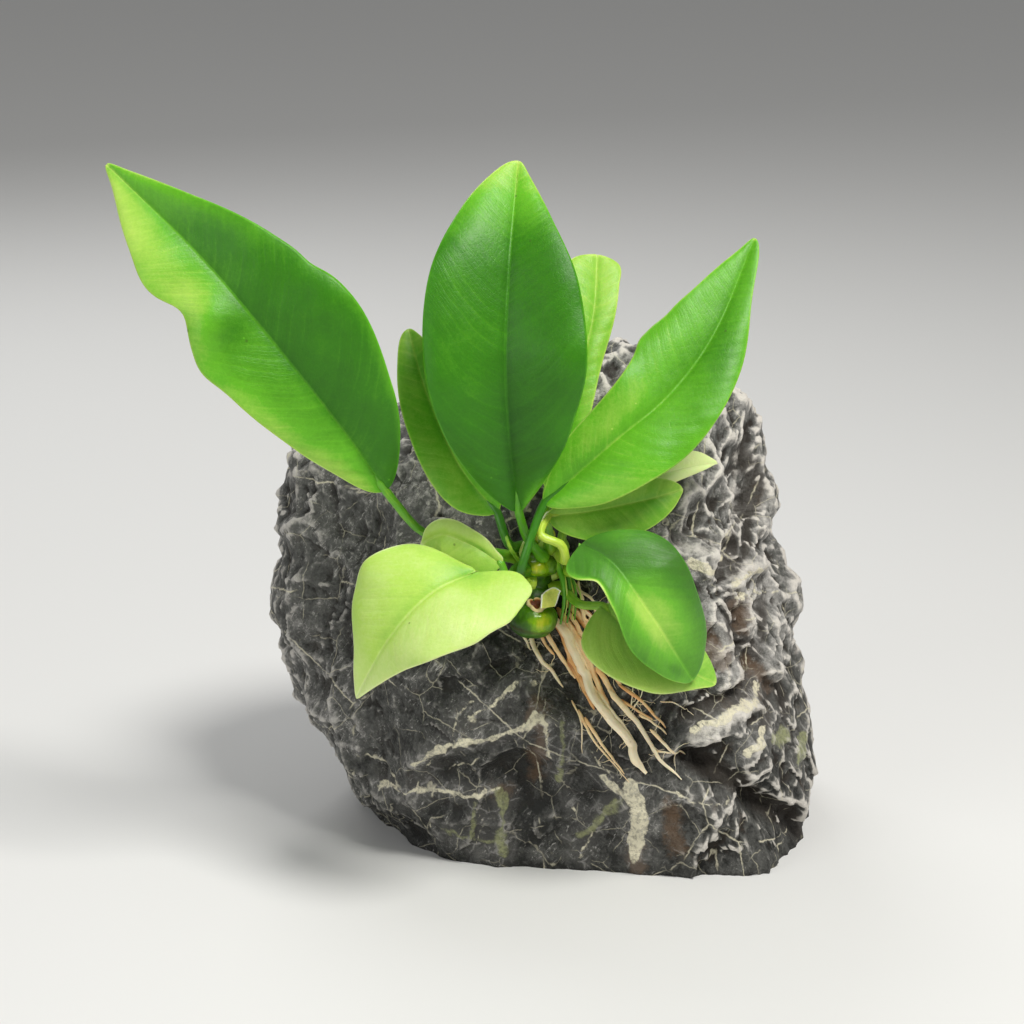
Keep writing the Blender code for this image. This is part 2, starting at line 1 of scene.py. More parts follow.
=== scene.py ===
"""Anubias on stone: the surface of every piece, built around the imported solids.

Tables are in millimetres and meshes in metres. +Z is up, the plant grows on the stone's front,
which faces -Y, and the origin is the middle of the stone's flat foot. Colours in tables are
screen values from 0 to 255.
"""

import math

import bmesh
import bpy
import numpy as np
from bpy.props import FloatProperty, FloatVectorProperty, IntProperty, PointerProperty
from mathutils import Matrix, Vector, noise
from mathutils.bvhtree import BVHTree


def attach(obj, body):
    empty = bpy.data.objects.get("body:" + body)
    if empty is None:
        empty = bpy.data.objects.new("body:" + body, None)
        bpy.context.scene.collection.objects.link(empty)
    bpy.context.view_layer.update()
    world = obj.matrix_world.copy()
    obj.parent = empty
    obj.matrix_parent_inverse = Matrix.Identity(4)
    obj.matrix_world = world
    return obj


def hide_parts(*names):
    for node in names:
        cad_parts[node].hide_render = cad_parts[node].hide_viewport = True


bl_info = {
    "name": "Anubias on stone",
    "version": (1, 0, 0),
    "blender": (4, 5, 0),
    "location": "3D View > Sidebar > Anubias",
    "description": "A broad-leaved water plant that has rooted on a veined grey stone",
    "category": "Add Mesh",
}

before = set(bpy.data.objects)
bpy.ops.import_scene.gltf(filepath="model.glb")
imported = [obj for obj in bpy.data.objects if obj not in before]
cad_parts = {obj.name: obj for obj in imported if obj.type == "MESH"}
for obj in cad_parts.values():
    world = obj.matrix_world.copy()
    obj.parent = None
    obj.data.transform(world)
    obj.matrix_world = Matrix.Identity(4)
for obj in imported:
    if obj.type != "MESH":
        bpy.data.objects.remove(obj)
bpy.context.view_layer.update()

MM = 0.001
GAP = 0.35                       # air between the stem and the stone

# ---- camera and light ----------------------------------------------------------------------
CAMERA_TARGET = (-11.5, -40.0, 92.0)
CAMERA_DISTANCE = 720.0
CAMERA_ELEVATION = 16.0          # degrees above the plant
CAMERA_LENS = 105.47             # mm, on a sensor 36 mm wide
FLOOR_SIZE = 9000.0
FLOOR_SHADE = 0.985              # how much of its brightness its darker patches keep
# name: place, size, power in watts, colour
LIGHTS = {
    "key_light": ((300, -430, 840), 330, 8.6, (1.0, 0.985, 0.95)),
    "fill_light": ((-760, -700, 330), 700, 2.6, (0.97, 0.98, 1.0)),
    "rim_light": ((-260, 620, 620), 500, 2.2, (1.0, 1.0, 1.0)),
}

# ---- stone: the same block, chips and marks as the solid ---------------------------------------
STONE_MIDDLE = (-4.0, 4.0, 58.0)
STONE_SHARPNESS = 60
BLOCK_FLAT_ANGLE = 4
FOOT_CUT_TOLERANCE = 1e-6
FOOT = ((-36, -27, -4), (-20, -36, -4), (20, -39, -4), (48, -46, -4), (62, -28, -4), (66, -6, -4),
        (56, 32, -4), (32, 52, -4), (-12, 54, -4), (-44, 40, -4), (-46, 6, -4))
LOW_CORNERS = ((-48, -25, 9), (-56, -2, 14), (-68, 18, 24), (-70, 12, 38), (-30, -42, 26),
               (2, -49, 38), (52, -46, 16), (66, -19, 14), (66, -10, 28), (60, 30, 24), (-20, 54, 24))
MIDDLE_CORNERS = ((-74, 6, 57), (-70, -12, 56), (-62, 34, 56), (-36, -42, 56), (6, -46, 64),
                  (38, -46, 44), (38, -40, 72), (63, -2, 56), (56, 2, 74), (50, 38, 62),
                  (18, 54, 64), (-32, 52, 62))
TOP_CORNERS = ((-71, 8, 78), (-68, -6, 92), (-66, 6, 100), (-58, 26, 92), (-42, -18, 101),
               (-10, -26, 106), (8, -6, 123), (22, -8, 128), (45, -6, 119), (54, -2, 94),
               (36, -24, 104), (22, 22, 116), (44, 22, 102), (0, 46, 94), (-44, 36, 94))
CHIP_COUNT = 130
CHIP_HOLLOW = 0.040
CHIP_VARIETY = 80.0
CHIP_RIM = 5.2
CHIP_BITE = 4.4
CHIP_SEED = 11
SWELL_SIZE = 34.0
SWELL_HEIGHT = 2.6
UNDERSIDE_Z = -4.0               # the block's underside, which isn't carved and is cut off at 0
PIT_SIZE = 8.0
PIT_DEPTH = (0.25, 1.5)          # on smooth and on fully craggy ground
PIT_REACH = 0.52                 # share of a pit's size from its middle to its rim
PIT_RIM = 0.9
PIT_WANDER = 1.6
PIT_WANDER_SIZE = 9.0
PIT_WANDER_SHIFTS = (0, 31, 67)
SMOOTH_GROUND = 0.12
# where the stone is craggy: how much, in which direction, and from where to where it grows
CRAGGY_GROUND = ((1.0, (1, 0, 0), 24, 38), (0.55, (-1, 0, 0), 46, 58), (0.7, (0, 0, 1), 84, 104),
                 (0.8, (0, 1, 0), -12, 12))
MARKS_END_Y = 4.0
MARKS_FADE = 14.0
MARK_SHARPNESS = 1.5             # 1 gives the marks keen edges, 2 round ones
FRONT_START_Y = -200.0
FRONT_MARKS = (
    (((32, 31), (38, 28), (44, 24), (50, 16), (57, 10), (62, 3)), 3.6, 6.5),       # lower right cleft
    (((32, 42), (38, 45), (45, 46), (50, 46)), 2.8, 3.2),
    (((32, 37), (38, 40), (43, 42), (48, 42)), 3.0, -3.0),                         # ledge under it
    (((48, 42), (51, 36), (46, 33)), 2.4, -1.6),
    (((46, 98), (50, 91), (47, 85)), 4.6, 5.0),                                    # upper right pit
    (((44, 99), (44, 92), (43, 86), (41, 80)), 2.4, -2.4),
    (((42, 81), (43, 74)), 2.6, 3.4),
    (((47, 82), (46, 76)), 2.2, 2.6),
    (((34, 91), (34, 87)), 2.4, 2.0),
    (((28, 88), (30, 84)), 2.2, 2.2),
    (((41, 91), (40, 88)), 1.8, 1.6),
    (((45, 83), (49, 84), (52, 82)), 2.0, -1.6),
    (((42, 68), (43, 62), (46, 54), (48, 49)), 3.2, 3.8),
    (((51, 62), (51, 54)), 2.2, 2.4),
    (((50, 46), (51, 42), (51, 37)), 2.6, 2.8),
    (((55, 41), (57, 35)), 2.4, 2.4),
    (((43, 71), (47, 73), (53, 71)), 2.8, -3.0),
    (((30, 81), (34, 81), (38, 80), (39, 77)), 3.0, -2.6),
    (((37, 57), (43, 49), (48, 46)), 2.2, -1.8),
    (((48, 49), (54, 46), (60, 39)), 2.2, -2.0),
    (((53, 97), (55, 88), (52, 80)), 3.0, -2.0),
    (((-65, 91), (-63, 73), (-62, 54), (-56, 43), (-52, 30), (-51, 16)), 4.6, -3.0),  # left rim
    (((-57, 90), (-56, 72), (-54, 54), (-49, 42), (-44, 30), (-43, 20)), 4.8, 3.0),
    (((-68, 62), (-71, 55), (-68, 49)), 4.6, -2.4),
    (((-60, 34), (-62, 26), (-58, 20)), 5.0, -2.4),
    (((-36, 27), (-26, 35), (-12, 39), (-4, 43)), 2.8, -1.8),
    (((-45, 17), (-32, 20), (-15, 22)), 3.0, -1.8),
    (((-15, 22), (-14, 16), (-14, 3)), 2.6, -1.2),
    (((18, 25), (19, 16), (19, 4)), 3.4, -1.6),
)
# hollows and bulges that run round the sides: middle (x, z), reach and depth
SIDE_MARKS = (((57, 97), 9.0, -5.4), ((58, 74), 7.0, 3.4), ((63, 47), 6.5, 2.6), ((66, 31), 7.0, 2.4),
              ((65, 10), 8.0, -2.8), ((-57, 19), 9.0, 4.6), ((-74, 72), 8.0, 2.4))
# finer relief of the visible skin
FINE_CHIP_SIZE = 3.4
FINE_CHIP_DEPTH = (0.12, 0.34)   # on smooth and on fully craggy ground
FINE_CHIP_RIM = 1.4
FLUTE_SIZE = (2.6, 2.6, 17.0)    # upright flutes of the left face and the upper right
FLUTE_HEIGHT = 0.55
FLUTE_BED = 0.4                  # share of its height by which a flute lies below the skin
LEFT_FLUTES_X = (34, 52)         # from where to where the flutes grow
RIGHT_FLUTES_X = (30, 42)
RIGHT_FLUTES_Z = (66, 84)
FLAKES = ((7.5, 0.95), (3.2, 0.45))      # size and height of the broken flakes
FLAKE_SHARES = (0.55, 0.45)      # of that height: on smooth ground, and added on craggy ground
FLAKE_SCATTER = 5.3
FLAKE_SEED = 1795519759          # without it, the tilts of the flakes would change from run to run
GRAIN_SIZE = 1.15
GRAIN_HEIGHT = 0.12
STONE_CHUNK = 20000              # points measured at once
# veins and stains of the front, as (x, z) points with their half width
CREAM_VEINS = (
    (((-21.5, 41), (-14, 47), (-10, 50), (-5, 51)), 0.45),
    (((-36, 27), (-31, 31), (-26, 35), (-21.5, 36.5), (-17, 37), (-11.5, 39), (-7, 42), (-4.5, 43)), 0.75),
    (((-45, 17.6), (-39, 19), (-31.5, 20), (-22, 21), (-15, 22)), 0.6),
    (((-5, 43.6), (-3.5, 38), (-2.3, 32)), 0.8),
    (((18.4, 25), (19, 16), (19.3, 6)), 1.8),
    (((10, 27), (13, 25), (16.5, 22)), 1.2),
    (((-31, 31), (-33, 24), (-38, 15)), 0.15),
    (((-22, 21), (-18, 12), (-20, 4)), 0.15),
    (((-4.5, 43), (4, 38), (12, 28), (18, 24)), 0.2),
    (((2, 20), (8, 12), (6, 3)), 0.2),
    (((32, 38), (37, 41), (43, 43), (49, 43)), 0.9),
    (((50, 35), (47, 34), (46, 32)), 1.3),
    (((45, 96), (44, 86)), 0.6),
    (((31, 79), (39, 76)), 1.3),
    (((43, 71), (47, 72), (51, 71.5)), 0.8),
    (((-26, 35), (-24, 41), (-21.5, 45)), 0.2),
    (((28, 24), (34, 20), (41, 19)), 0.35),
    (((60, 61), (52, 64), (44, 68)), 0.4),
)
GREEN_VEINS = (
    (((-15, 22), (-13.5, 17), (-14, 10), (-14.5, 3)), 0.8),
    (((-21, 19), (-21, 13), (-21, 8)), 0.5),
    (((-29, 8.5), (-21, 8), (-14, 6)), 0.25),
    (((0.6, 42), (0.9, 34), (0.5, 25)), 0.6),
    (((15, 21), (10, 15), (5, 10.5)), 1.0),
    (((55, 32), (56, 31)), 1.5),
    (((62, 26), (61, 23)), 1.7),
)
RUST_STAINS = (
    (((-5.5, 46), (-5, 37), (-5.5, 26)), 1.8),
    (((19.3, 8), (19.5, 2)), 1.8),
    (((-15, 22), (-13, 20)), 1.4),
    (((34, 62), (39, 56)), 2.2),
    (((44, 66), (46, 60)), 1.4),
    (((28, 18), (30, 8)), 2.5),
    (((50, 96), (53, 88)), 2.0),
    (((46, 50), (52, 44)), 1.6),
)
FAR_AWAY = 60.0                  # distance to the veins given to the back of the stone
VEIN_WANDER = ((7.0, 1.8), (2.0, 0.8))   # size and amount, in mm, of the veins' bends
VEIN_SHIFT = 17.0
VEIN_SWELL = 0.9                 # share by which a vein widens and narrows
VEIN_SWELL_SIZE = 5.0
FULL_MARK = 3.0                  # depth from which a groove or a ridge has its full colour
MARK_COLOUR_X = (-10.0, 20.0)    # the marks' colours set in from the stone's middle to its right
CALM_LEFT = 0.35                 # how much less worn the left face is than its relief suggests
CALM_LEFT_X = (20, 45)           # and from where to where that sets in
FOOT_BLEND = (0.5, 7.0)          # height above the foot's edge over which the wear sets in
SHAPE_PASSES = (4, 40)           # evening passes that tell fine and broad shapes from their ground
COARSE_EDGES = (0.85, 1.25)      # from where to where the skin is coarse, and needs a quarter of them
# how light the stone is at places of its front, (x, z): 0 near black, 1 pale lilac grey; partly its own tone,
# partly painted shade low on the front and painted light on the right faces
TONES_AND_SHADING = (
    ((-60, 84), 0.35), ((-62, 55), 0.32), ((-52, 30), 0.38), ((-38, 60), 0.26), ((-32, 90), 0.46),
    ((-10, 98), 0.32), ((-10, 66), 0.10), ((-30, 20), 0.03), ((-28, 44), 0.08), ((0, 30), 0.03),
    ((0, 8), 0.0), ((18, 48), 0.12), ((30, 14), 0.16), ((34, 36), 0.16), ((48, 52), 0.70),
    ((44, 80), 0.56), ((26, 100), 0.42), ((30, 118), 0.50), ((52, 105), 0.54), ((60, 62), 0.80),
    ((62, 36), 0.34), ((54, 20), 0.16), ((62, 6), 0.22),
)
TONE_REACH = 13.0
BACK_TONE = 0.42

# ---- leaves: the same midribs and half widths as the solids --------------------------------------
MIDRIB_STEP = 0.01
EAR_ROWS = 0.35
EAR_SQUARENESS = 4
EAR_SKEW = 1.6
EAR_FADE = 2
BLADE_MIN_HALF = 0.25
LEAVES = {
    "upper_left": dict(
        midrib=((-41, -60, 103), (-49, -65, 117), (-64, -68, 138), (-82, -64, 159), (-104, -52, 178)),
        faces=(-0.25, -1, 0.45), fold=(12, 12),
        left=(3.5, 7, 11.5, 15.5, 14, 10, 3), right=(4, 9, 16, 21.5, 16, 8, 2.5)),
    "centre": dict(
        midrib=((-10, -60, 98), (-12, -67, 116), (-13, -69, 136), (-12, -62, 158), (-10, -48, 178)),
        faces=(0, -1, 0.2), fold=(14, 14),
        left=(3.5, 9, 15, 19, 18.5, 12.5, 5.5), right=(3, 8.5, 15, 19, 16.5, 9, 3)),
    "right": dict(
        midrib=((-4, -57, 99), (12, -58, 114), (25, -53, 124), (36, -45, 137), (46, -32, 157)),
        faces=(-0.15, -1, 0.35), fold=(10, 10),
        left=(3, 7.5, 9.5, 12, 13.5, 8, 2.5), right=(4.5, 10.5, 13.5, 13, 10, 5, 2.5)),
    "behind_left": dict(
        midrib=((-15, -54, 96), (-23, -51, 105), (-29, -47, 116), (-33, -42, 126), (-36, -36, 136)),
        faces=(-0.1, -1, 0.3), fold=(14, 14),
        left=(3.5, 7, 8, 7.5, 6.5, 4.5, 2.5), right=(3, 6.5, 8.5, 9, 7.5, 5, 2)),
    "behind_right": dict(
        midrib=((-3, -49, 100), (2, -44, 113), (5, -38, 127), (8, -31, 139), (9, -22, 151)),
        faces=(0.1, -1, 0.2), fold=(8, 8),
        left=(2.5, 5.5, 7.5, 8.5, 8.5, 8, 6.5), right=(2, 3.5, 4, 4.5, 5, 5.5, 5.5)),
    "low_right": dict(
        midrib=((-3, -54, 95), (6, -54, 96), (14, -52, 97), (22, -49, 98), (29, -45, 99)),
        faces=(0.05, -1, 0.35), fold=(8, 8),
        left=(2, 4, 5.5, 6, 5.5, 4, 2), right=(3, 5.5, 7.5, 8, 6.5, 4, 1.5)),
    "pale_tip": dict(
        midrib=((2, -43, 91), (11, -43, 96), (20, -41, 100), (30, -37, 102), (38, -32, 102)),
        faces=(0.05, -1, 0.4), fold=(8, 8),
        left=(1.5, 3, 5, 5.5, 4.5, 3.5, 1.5), right=(1.5, 3.5, 4, 3.5, 2.5, 1.5, 0.5)),
    "front_lime": dict(
        midrib=((-20, -66, 85), (-29, -71, 82), (-36, -73, 76), (-42, -71, 67), (-48, -66, 54)),
        faces=(-0.35, -0.85, 0.75), fold=(8, 8), ear=((15, 8), (0.5, 0)),
        left=(17.5, 18, 18, 14.5, 9, 4.5, 1.5), right=(4, 12, 16, 17.5, 14.5, 6.5, 2)),
    "back_lime": dict(
        midrib=((-14, -57, 84), (-18, -57, 87), (-22, -56, 89), (-28, -56, 91), (-33, -54, 88)),
        faces=(-0.15, -1, 0.35), fold=(6, 6),
        left=(3, 4.5, 5, 5, 4.5, 4, 1.5), right=(1.5, 2, 3, 3.5, 4, 3, 1)),
    "front_right": dict(
        midrib=((5, -60, 90), (12, -66, 87), (17, -69, 81), (24, -68, 70), (31, -62, 57)),
        faces=(0.25, -0.9, 0.5), fold=(6, 6),
        left=(3.5, 8, 13.5, 14, 13, 11, 5.5), right=(7.5, 9, 7, 7.5, 9, 6.5, 3)),
    "under_right": dict(
        midrib=((10, -54, 73), (16, -58, 68), (24, -59, 62), (30, -58, 58), (37, -56, 54)),
        faces=(0.1, -0.8, 0.8), fold=(6, 6),
        left=(2, 4.5, 6.5, 8, 8.5, 7, 3.5), right=(6, 11.5, 13, 11, 7, 3.5, 1.5)),
}
LIME_LEAVES = ("behind_right", "pale_tip", "front_lime", "back_lime")
# sides: how pale the left and the right half are, 0 deep green to 1 pale lime; tip: added there;
# patches: (t, across from -1 to 1, reach along, reach across, added paleness);
# forms: as patches, but the height of a fold; edges: (1 for the right margin, t, reach, added width);
# ripple: height and number of waves of the left and of the right margin;
# the sheen share: how much of the underside's pale matt look the upper side has, a painted pale sheen
LEAF_LOOKS = {
    # upper_left's paler left half and darker right half are partly painted light and shade of its folded
    # halves
    "upper_left": dict(sides=(0.34, 0.22), tip=0.26, ripple=((0.9, 2.6), (0.6, 2.2)), patches=(
        (0.12, -0.8, 0.16, 0.7, 0.26), (0.42, -1.0, 0.30, 0.4, 0.24), (0.70, -0.6, 0.07, 0.5, 0.24),
        (0.86, -0.7, 0.12, 0.6, 0.22), (0.60, -0.35, 0.05, 0.3, -0.08), (0.80, 0.9, 0.2, 0.3, 0.10),
        (0.30, 1.0, 0.3, 0.10, 0.14)),
        forms=((0.57, -0.55, 0.035, 0.5, -0.9), (0.64, -0.6, 0.045, 0.5, 1.6), (0.73, -0.8, 0.04, 0.4, -1.2),
               (0.80, -0.6, 0.05, 0.5, 0.8), (0.52, 0.9, 0.05, 0.35, 0.9)),
        edges=((0, 0.57, 0.05, 1.8), (0, 0.69, 0.045, -2.4), (0, 0.78, 0.06, 1.6), (1, 0.60, 0.03, -0.9))),
    "centre": dict(sides=(0.21, 0.17), tip=0.42, ripple=((0.5, 3.0), (0.6, 3.4)), patches=(
        (0.78, -0.6, 0.16, 0.5, 0.03), (0.06, 0.9, 0.08, 0.35, 0.36), (0.45, 0.9, 0.3, 0.2, 0.05),
        (0.25, 0.0, 0.25, 0.25, -0.06), (0.55, -0.5, 0.12, 0.4, 0.04)),
        forms=((0.10, 0.75, 0.07, 0.25, 0.9), (0.30, -0.6, 0.06, 0.4, 0.5), (0.62, 0.5, 0.06, 0.4, -0.4))),
    "right": dict(sides=(0.48, 0.46), tip=-0.02, ripple=((0.9, 2.5), (0.5, 3.0)), patches=(
        (0.35, -0.5, 0.2, 0.5, 0.08), (0.72, 0.2, 0.2, 0.5, -0.14), (0.15, 0.8, 0.15, 0.4, 0.12),
        (0.55, 0.7, 0.25, 0.3, -0.06), (0.5, -0.2, 0.3, 0.15, -0.08)),
        edges=((0, 0.58, 0.05, 0.8), (0, 0.72, 0.05, -0.8))),
    "behind_left": dict(sides=(0.54, 0.50), tip=0.06, ripple=((0.6, 2.0), (0.4, 2.0)), patches=()),
    "behind_right": dict(sides=(0.58, 0.60), tip=0.08, ripple=((0.5, 2.0), (0.5, 2.0)), patches=(
        (0.25, 0.0, 0.2, 0.8, -0.10),)),
    "low_right": dict(sides=(0.60, 0.56), tip=0.05, ripple=((0.4, 2.0), (0.3, 2.0)), patches=(
        (0.15, 0.0, 0.15, 0.9, 0.10),)),
    "pale_tip": dict(sides=(1.0, 1.05), tip=0.1, ripple=((0.4, 1.5), (0.3, 1.5)), patches=(
        (0.2, 0.0, 0.25, 1.0, -0.25),)),
    "front_lime": dict(sides=(0.83, 0.74), tip=0.14, ripple=((0.7, 2.0), (0.8, 1.8)), patches=(
        (0.04, 0.0, 0.10, 0.5, -0.18), (0.45, 0.05, 0.3, 0.12, -0.06), (0.55, 0.6, 0.2, 0.3, 0.08),
        (0.30, -0.7, 0.2, 0.3, 0.05))),
    "back_lime": dict(sides=(0.68, 0.80), tip=0.02, ripple=((0.3, 1.5), (0.3, 1.5)), patches=(
        (0.3, 0.1, 0.3, 0.15, -0.20),)),
    # front_right's pale middle patch (0.60 along) is a painted sheen
    "front_right": dict(sides=(0.08, 0.25), tip=0.18, painted_sheen=0.25, ripple=((0.7, 2.0), (0.9, 1.6)), patches=(
        (0.60, 0.0, 0.21, 0.6, 0.44), (0.16, -0.8, 0.14, 0.5, 0.22), (0.90, 0.45, 0.05, 0.3, -0.20),
        (0.28, 1.0, 0.22, 0.10, 0.46), (0.78, -0.3, 0.16, 0.6, 0.22), (0.10, 0.5, 0.12, 0.5, -0.06)),
        forms=((0.28, 1.0, 0.2, 0.14, 1.3), (0.5, -0.5, 0.12, 0.4, 0.5), (0.8, 0.4, 0.1, 0.4, -0.6))),
    "under_right": dict(sides=(0.56, 0.60), tip=0.0, painted_sheen=0.4, ripple=((0.4, 1.5), (0.6, 1.6)), patches=(
        (0.12, 0.5, 0.12, 0.4, 0.12), (0.5, 0.9, 0.4, 0.15, 0.10))),
}
VEIN_LEAN = 0.62                 # how far a side vein runs towards the tip for each mm outwards
VEIN_CURVE = 0.018               # and how much more, for each square mm
MIDRIB_GROOVE = (0.26, 0.75)     # depth and half width on the upper side
MIDRIB_RIDGE = (0.85, 0.85)      # height and half width on the underside, at the base
MIDRIB_RIDGE_TAPER = 0.75        # share of it that is gone at the tip
BULGE = 0.045                    # rise of each half between midrib and margin, share of its width
MARGIN_ROLL = 0.05               # droop of the margin, share of the half width
EDGE_THINNING = 0.6              # share of the thickness that the margin loses
CREASES = ((11.0, 0.45), (5.0, 0.16))    # size and height in mm of slow unevenness of the blade
VEIN_BENDS = ((15.0, 2.4), (5.5, 0.7))   # size and amount in mm of the side veins' bends
QUILT_PATCH_SIZE = 13.0
QUILT_SHARES = (0.55, 0.9)       # share of the quilting that is everywhere, and that comes in patches
PALE_CALM = 0.65                 # how much flatter the quilting of pale leaves is
PALE_CALM_TONES = (0.55, 0.8)    # from which tone to which that sets in
MIDRIB_GROOVE_TAPER = 0.6        # share of the groove that is gone at the tip
VEIN_RIBS = (0.10, 0.35)         # height and half width of the side veins' ribs on the underside
RIPPLE_STARTS = (0.15, 0.55)     # share of a wave at which the left and the right margin start
TIP_BLEND = (0.72, 1.0)          # t from where to where the tip's tone sets in
SIDE_BLEND = 2.2                 # mm over which the left half's tone turns into the right half's

# ---- creeping stem, stalks and old sheath -------------------------------------------------------
STEM_PATH = ((-6, 63.5, 3), (-6.3, 65.5, 5), (-6.5, 68.5, 6), (-6, 71.5, 5.5), (-5, 75, 4),
             (-4.6, 78.5, 4.5), (-4.5, 82, 4.4), (-4.2, 84.5, 3.4), (-4, 86.5, 1.8))  # x, z, radius
STEM_PROBE_REACH = 0.7
STEM_PROBE_HEIGHTS = (-2, 0, 2)
STEM_SMOOTHING = (0.25, 0.5, 0.25)
STALK_RISE = 0.25
# by leaf: bearing and height of the stalk's foot, how far it ends below the blade, how pale it is, its way
STALKS = {
    "upper_left": ((-104, 79.5), 0.0, 0.50, ((-22, -49.5, 86.0), (-33, -51.0, 90.5))),
    "centre": ((0, 82), 0.0, 0.42, ((-8, -54.5, 90),)),
    "right": ((-38, 78.5), 0.0, 0.22, ((-9.4, -59.4, 83), (-7.6, -60.4, 90))),
    "behind_left": ((-66, 83), 0.0, 0.26, ((-12.4, -54.5, 88.5),)),
    "behind_right": ((24, 83.5), 0.0, 0.55, ((-3.4, -50.0, 94.0),)),
    "low_right": ((55, 81.5), 0.0, 0.72, ((1, -56.6, 85), (0, -58.8, 89.4), (-4.8, -58.6, 91.8))),
    "pale_tip": ((105, 82.0), 0.4, 0.60, ((0.4, -45.6, 87.4),)),
    "front_lime": ((-48, 75.5), 2.6, 0.55, ((-13.4, -59.4, 77.5),)),
    "back_lime": ((-70, 78.0), 0.0, 0.50, ((-12.6, -55.0, 80.4),)),
    "front_right": ((74, 77.5), 2.4, 0.66, ((4.6, -55.0, 81.5),)),
    "under_right": ((92, 73), 0.0, 0.58, ((4.6, -51.4, 72.4),)),
}
STALK_POINTS = 26
STALK_IN_BLADE = 0.10            # share of the midrib that the stalk runs along under the blade
STALK_BELOW = 0.75               # how far under the blade's middle it runs there
STALK_NEARING = (1.0, 0.35, 0.0)  # share of its drop that a low stalk still has where it runs there
STALK_INSIDE = 1.6               # how deep a stalk starts inside the stem
STALK_CLASP = 1.4                # how far outside the stem its next point is
STALK_UNEVENNESS = (0.0003, 6.0)         # height in metres, size in mm
OLD_STALK_UNEVENNESS = (0.0004, 3.0)
# radius along a stalk, from the clasping foot to its end under the blade, as shares
STALK_PROFILE = (2.0, 1.75, 1.3, 1.02, 0.96, 0.94, 0.96, 1.0, 0.9, 0.5)
# lumps of the stem: place (x, distance in front of its axis, z) and radii
STEM_LUMPS = (
    ((-6.5, 0.4, 67.6), (6.0, 5.8, 4.6)),        # the round green end
    ((-6.2, 0.0, 65.2), (4.6, 4.6, 2.6)),
    ((-6.0, -0.6, 72.4), (4.0, 3.8, 3.2)),       # the waist above it, in shadow
    ((-5.0, -0.4, 76.0), (3.3, 3.3, 3.2)),
    ((-4.8, 1.4, 80.4), (4.4, 4.2, 3.3)),        # the neck with its lobes
    ((-5.4, 4.2, 80.2), (3.0, 2.4, 2.1)),
    ((-2.2, 3.4, 80.6), (2.2, 2.2, 2.5)),
    ((-4.2, 0.6, 84.6), (2.6, 2.6, 2.8)),
    ((-8.4, 0.6, 82.6), (1.9, 1.9, 3.4)),
    ((-6.2, 3.0, 86.4), (1.1, 1.1, 2.1)),        # buds
    ((-2.0, 2.6, 86.2), (1.0, 1.0, 1.7)),
    ((-4.2, 2.2, 88.0), (0.9, 0.9, 2.6)),
    ((-9.4, 0.8, 76.6), (1.7, 1.6, 4.2)),        # base of an old stalk
)
# remains of old stalks beside the stem: points, start and end radius, paleness
OLD_STALKS = (
    (((-1.0, -46.5, 82), (0.6, -48.4, 77.5), (1.0, -48.4, 73), (0.2, -45.6, 65.6)), 0.85, 0.30, 0.46),
    (((0.2, -46.6, 81), (1.3, -48.8, 77), (1.7, -48.9, 73), (1.0, -46.4, 66.4)), 0.24, 0.14, 0.80),
    (((0.0, -45.5, 82), (2.0, -47.4, 77), (2.5, -47.2, 72.5), (1.8, -44.4, 65.6)), 0.60, 0.24, 0.36),
    (((1.2, -45.6, 80), (2.8, -47.6, 76), (3.2, -47.6, 72), (3.0, -45.0, 66.4)), 0.20, 0.12, 0.74),
    (((0.6, -44.5, 80.5), (3.3, -46.4, 76), (3.8, -46.0, 72), (3.6, -43.8, 66.0)), 0.46, 0.20, 0.50),
    (((1.0, -44.0, 79), (4.4, -45.4, 74.5), (5.2, -44.6, 69.6)), 0.30, 0.14, 0.80),
    (((-14.8, -54, 95), (-13.2, -55.4, 91.2), (-11.8, -56, 87.6), (-9.4, -50, 82)), 0.42, 0.46, 0.60),
    (((-8.6, -49.6, 87.5), (-9.4, -51, 85.2), (-8.8, -49.8, 83)), 0.36, 0.5, 0.86),
)
OLD_STALK_POINTS = 14
STEM_VOXEL = 0.28
STEM_SMOOTH_PASSES = 2
STEM_RINGS = (65.4, 83.0)        # heights of the leaf scars around the stem
STEM_RING = (0.22, 0.45)         # depth and half width of a scar
STEM_RING_TILT = 0.12            # how far a scar falls for each mm to the right
STEM_RING_WANDER = (5.0, 0.5)    # size and amount of its bends
STEM_MIDDLE_X = -5.0
STEM_UNEVENNESS = (1.6, 0.16)    # size and height
STEM_PALENESS = 0.30
# pale and yellow places of the stem, with painted light and shade: a painted highlight on the round end,
# painted shade on its left side and on the waist; (x, z), reach, added paleness
STEM_PATCHES_AND_LIGHT = (((-4.4, 68.2), 2.6, 0.44), ((-6.2, 86.8), 1.6, 0.62), ((-2.0, 86.4), 1.5, 0.66),
                ((-5.4, 80.6), 3.0, 0.40), ((-10.6, 67.0), 2.8, -0.24), ((-6.0, 73.4), 2.6, -0.14),
                ((-5.0, 76.6), 2.0, -0.10), ((-4.4, 83.4), 1.0, -0.20), ((-0.8, 66.0), 1.8, -0.14),
                ((-6.4, 63.4), 1.8, -0.16))
SHEATH_HEIGHT = 4.2
SHEATH_FOOT_Z = 72
SHEATH_BEARING = 25
SHEATH_HALF_WRAP = 21
SHEATH_STAND_OFF = 2.1
SHEATH_FOOT_OUT = 0.6
SHEATH_THICKNESS = 0.28
SHEATH_CURL = 1.1                # how far the torn rim curls outwards
SHEATH_CELLS = (20, 28)
CUP_CELLS = (14, 40)
CUP_TURNS = (0, 0.4, 0.6, 0.8, 1)            # from the cup's middle over its lip to its foot
CUP_REACHES = (0.05, 1.5, 1.8, 2.1, 2.3)     # and there, how far out and how high it is
CUP_RISES = (-0.3, -0.1, 0.35, 0.1, -1.5)
CUP_FORWARD = 0.72               # how far in front of the stem's axis it stands, share of the radius
CUP_FLATNESS = 0.72
CUP_THICKNESS = 0.3
CUP_LIP = (0.35, 0.65)           # from where to where the lip turns pale

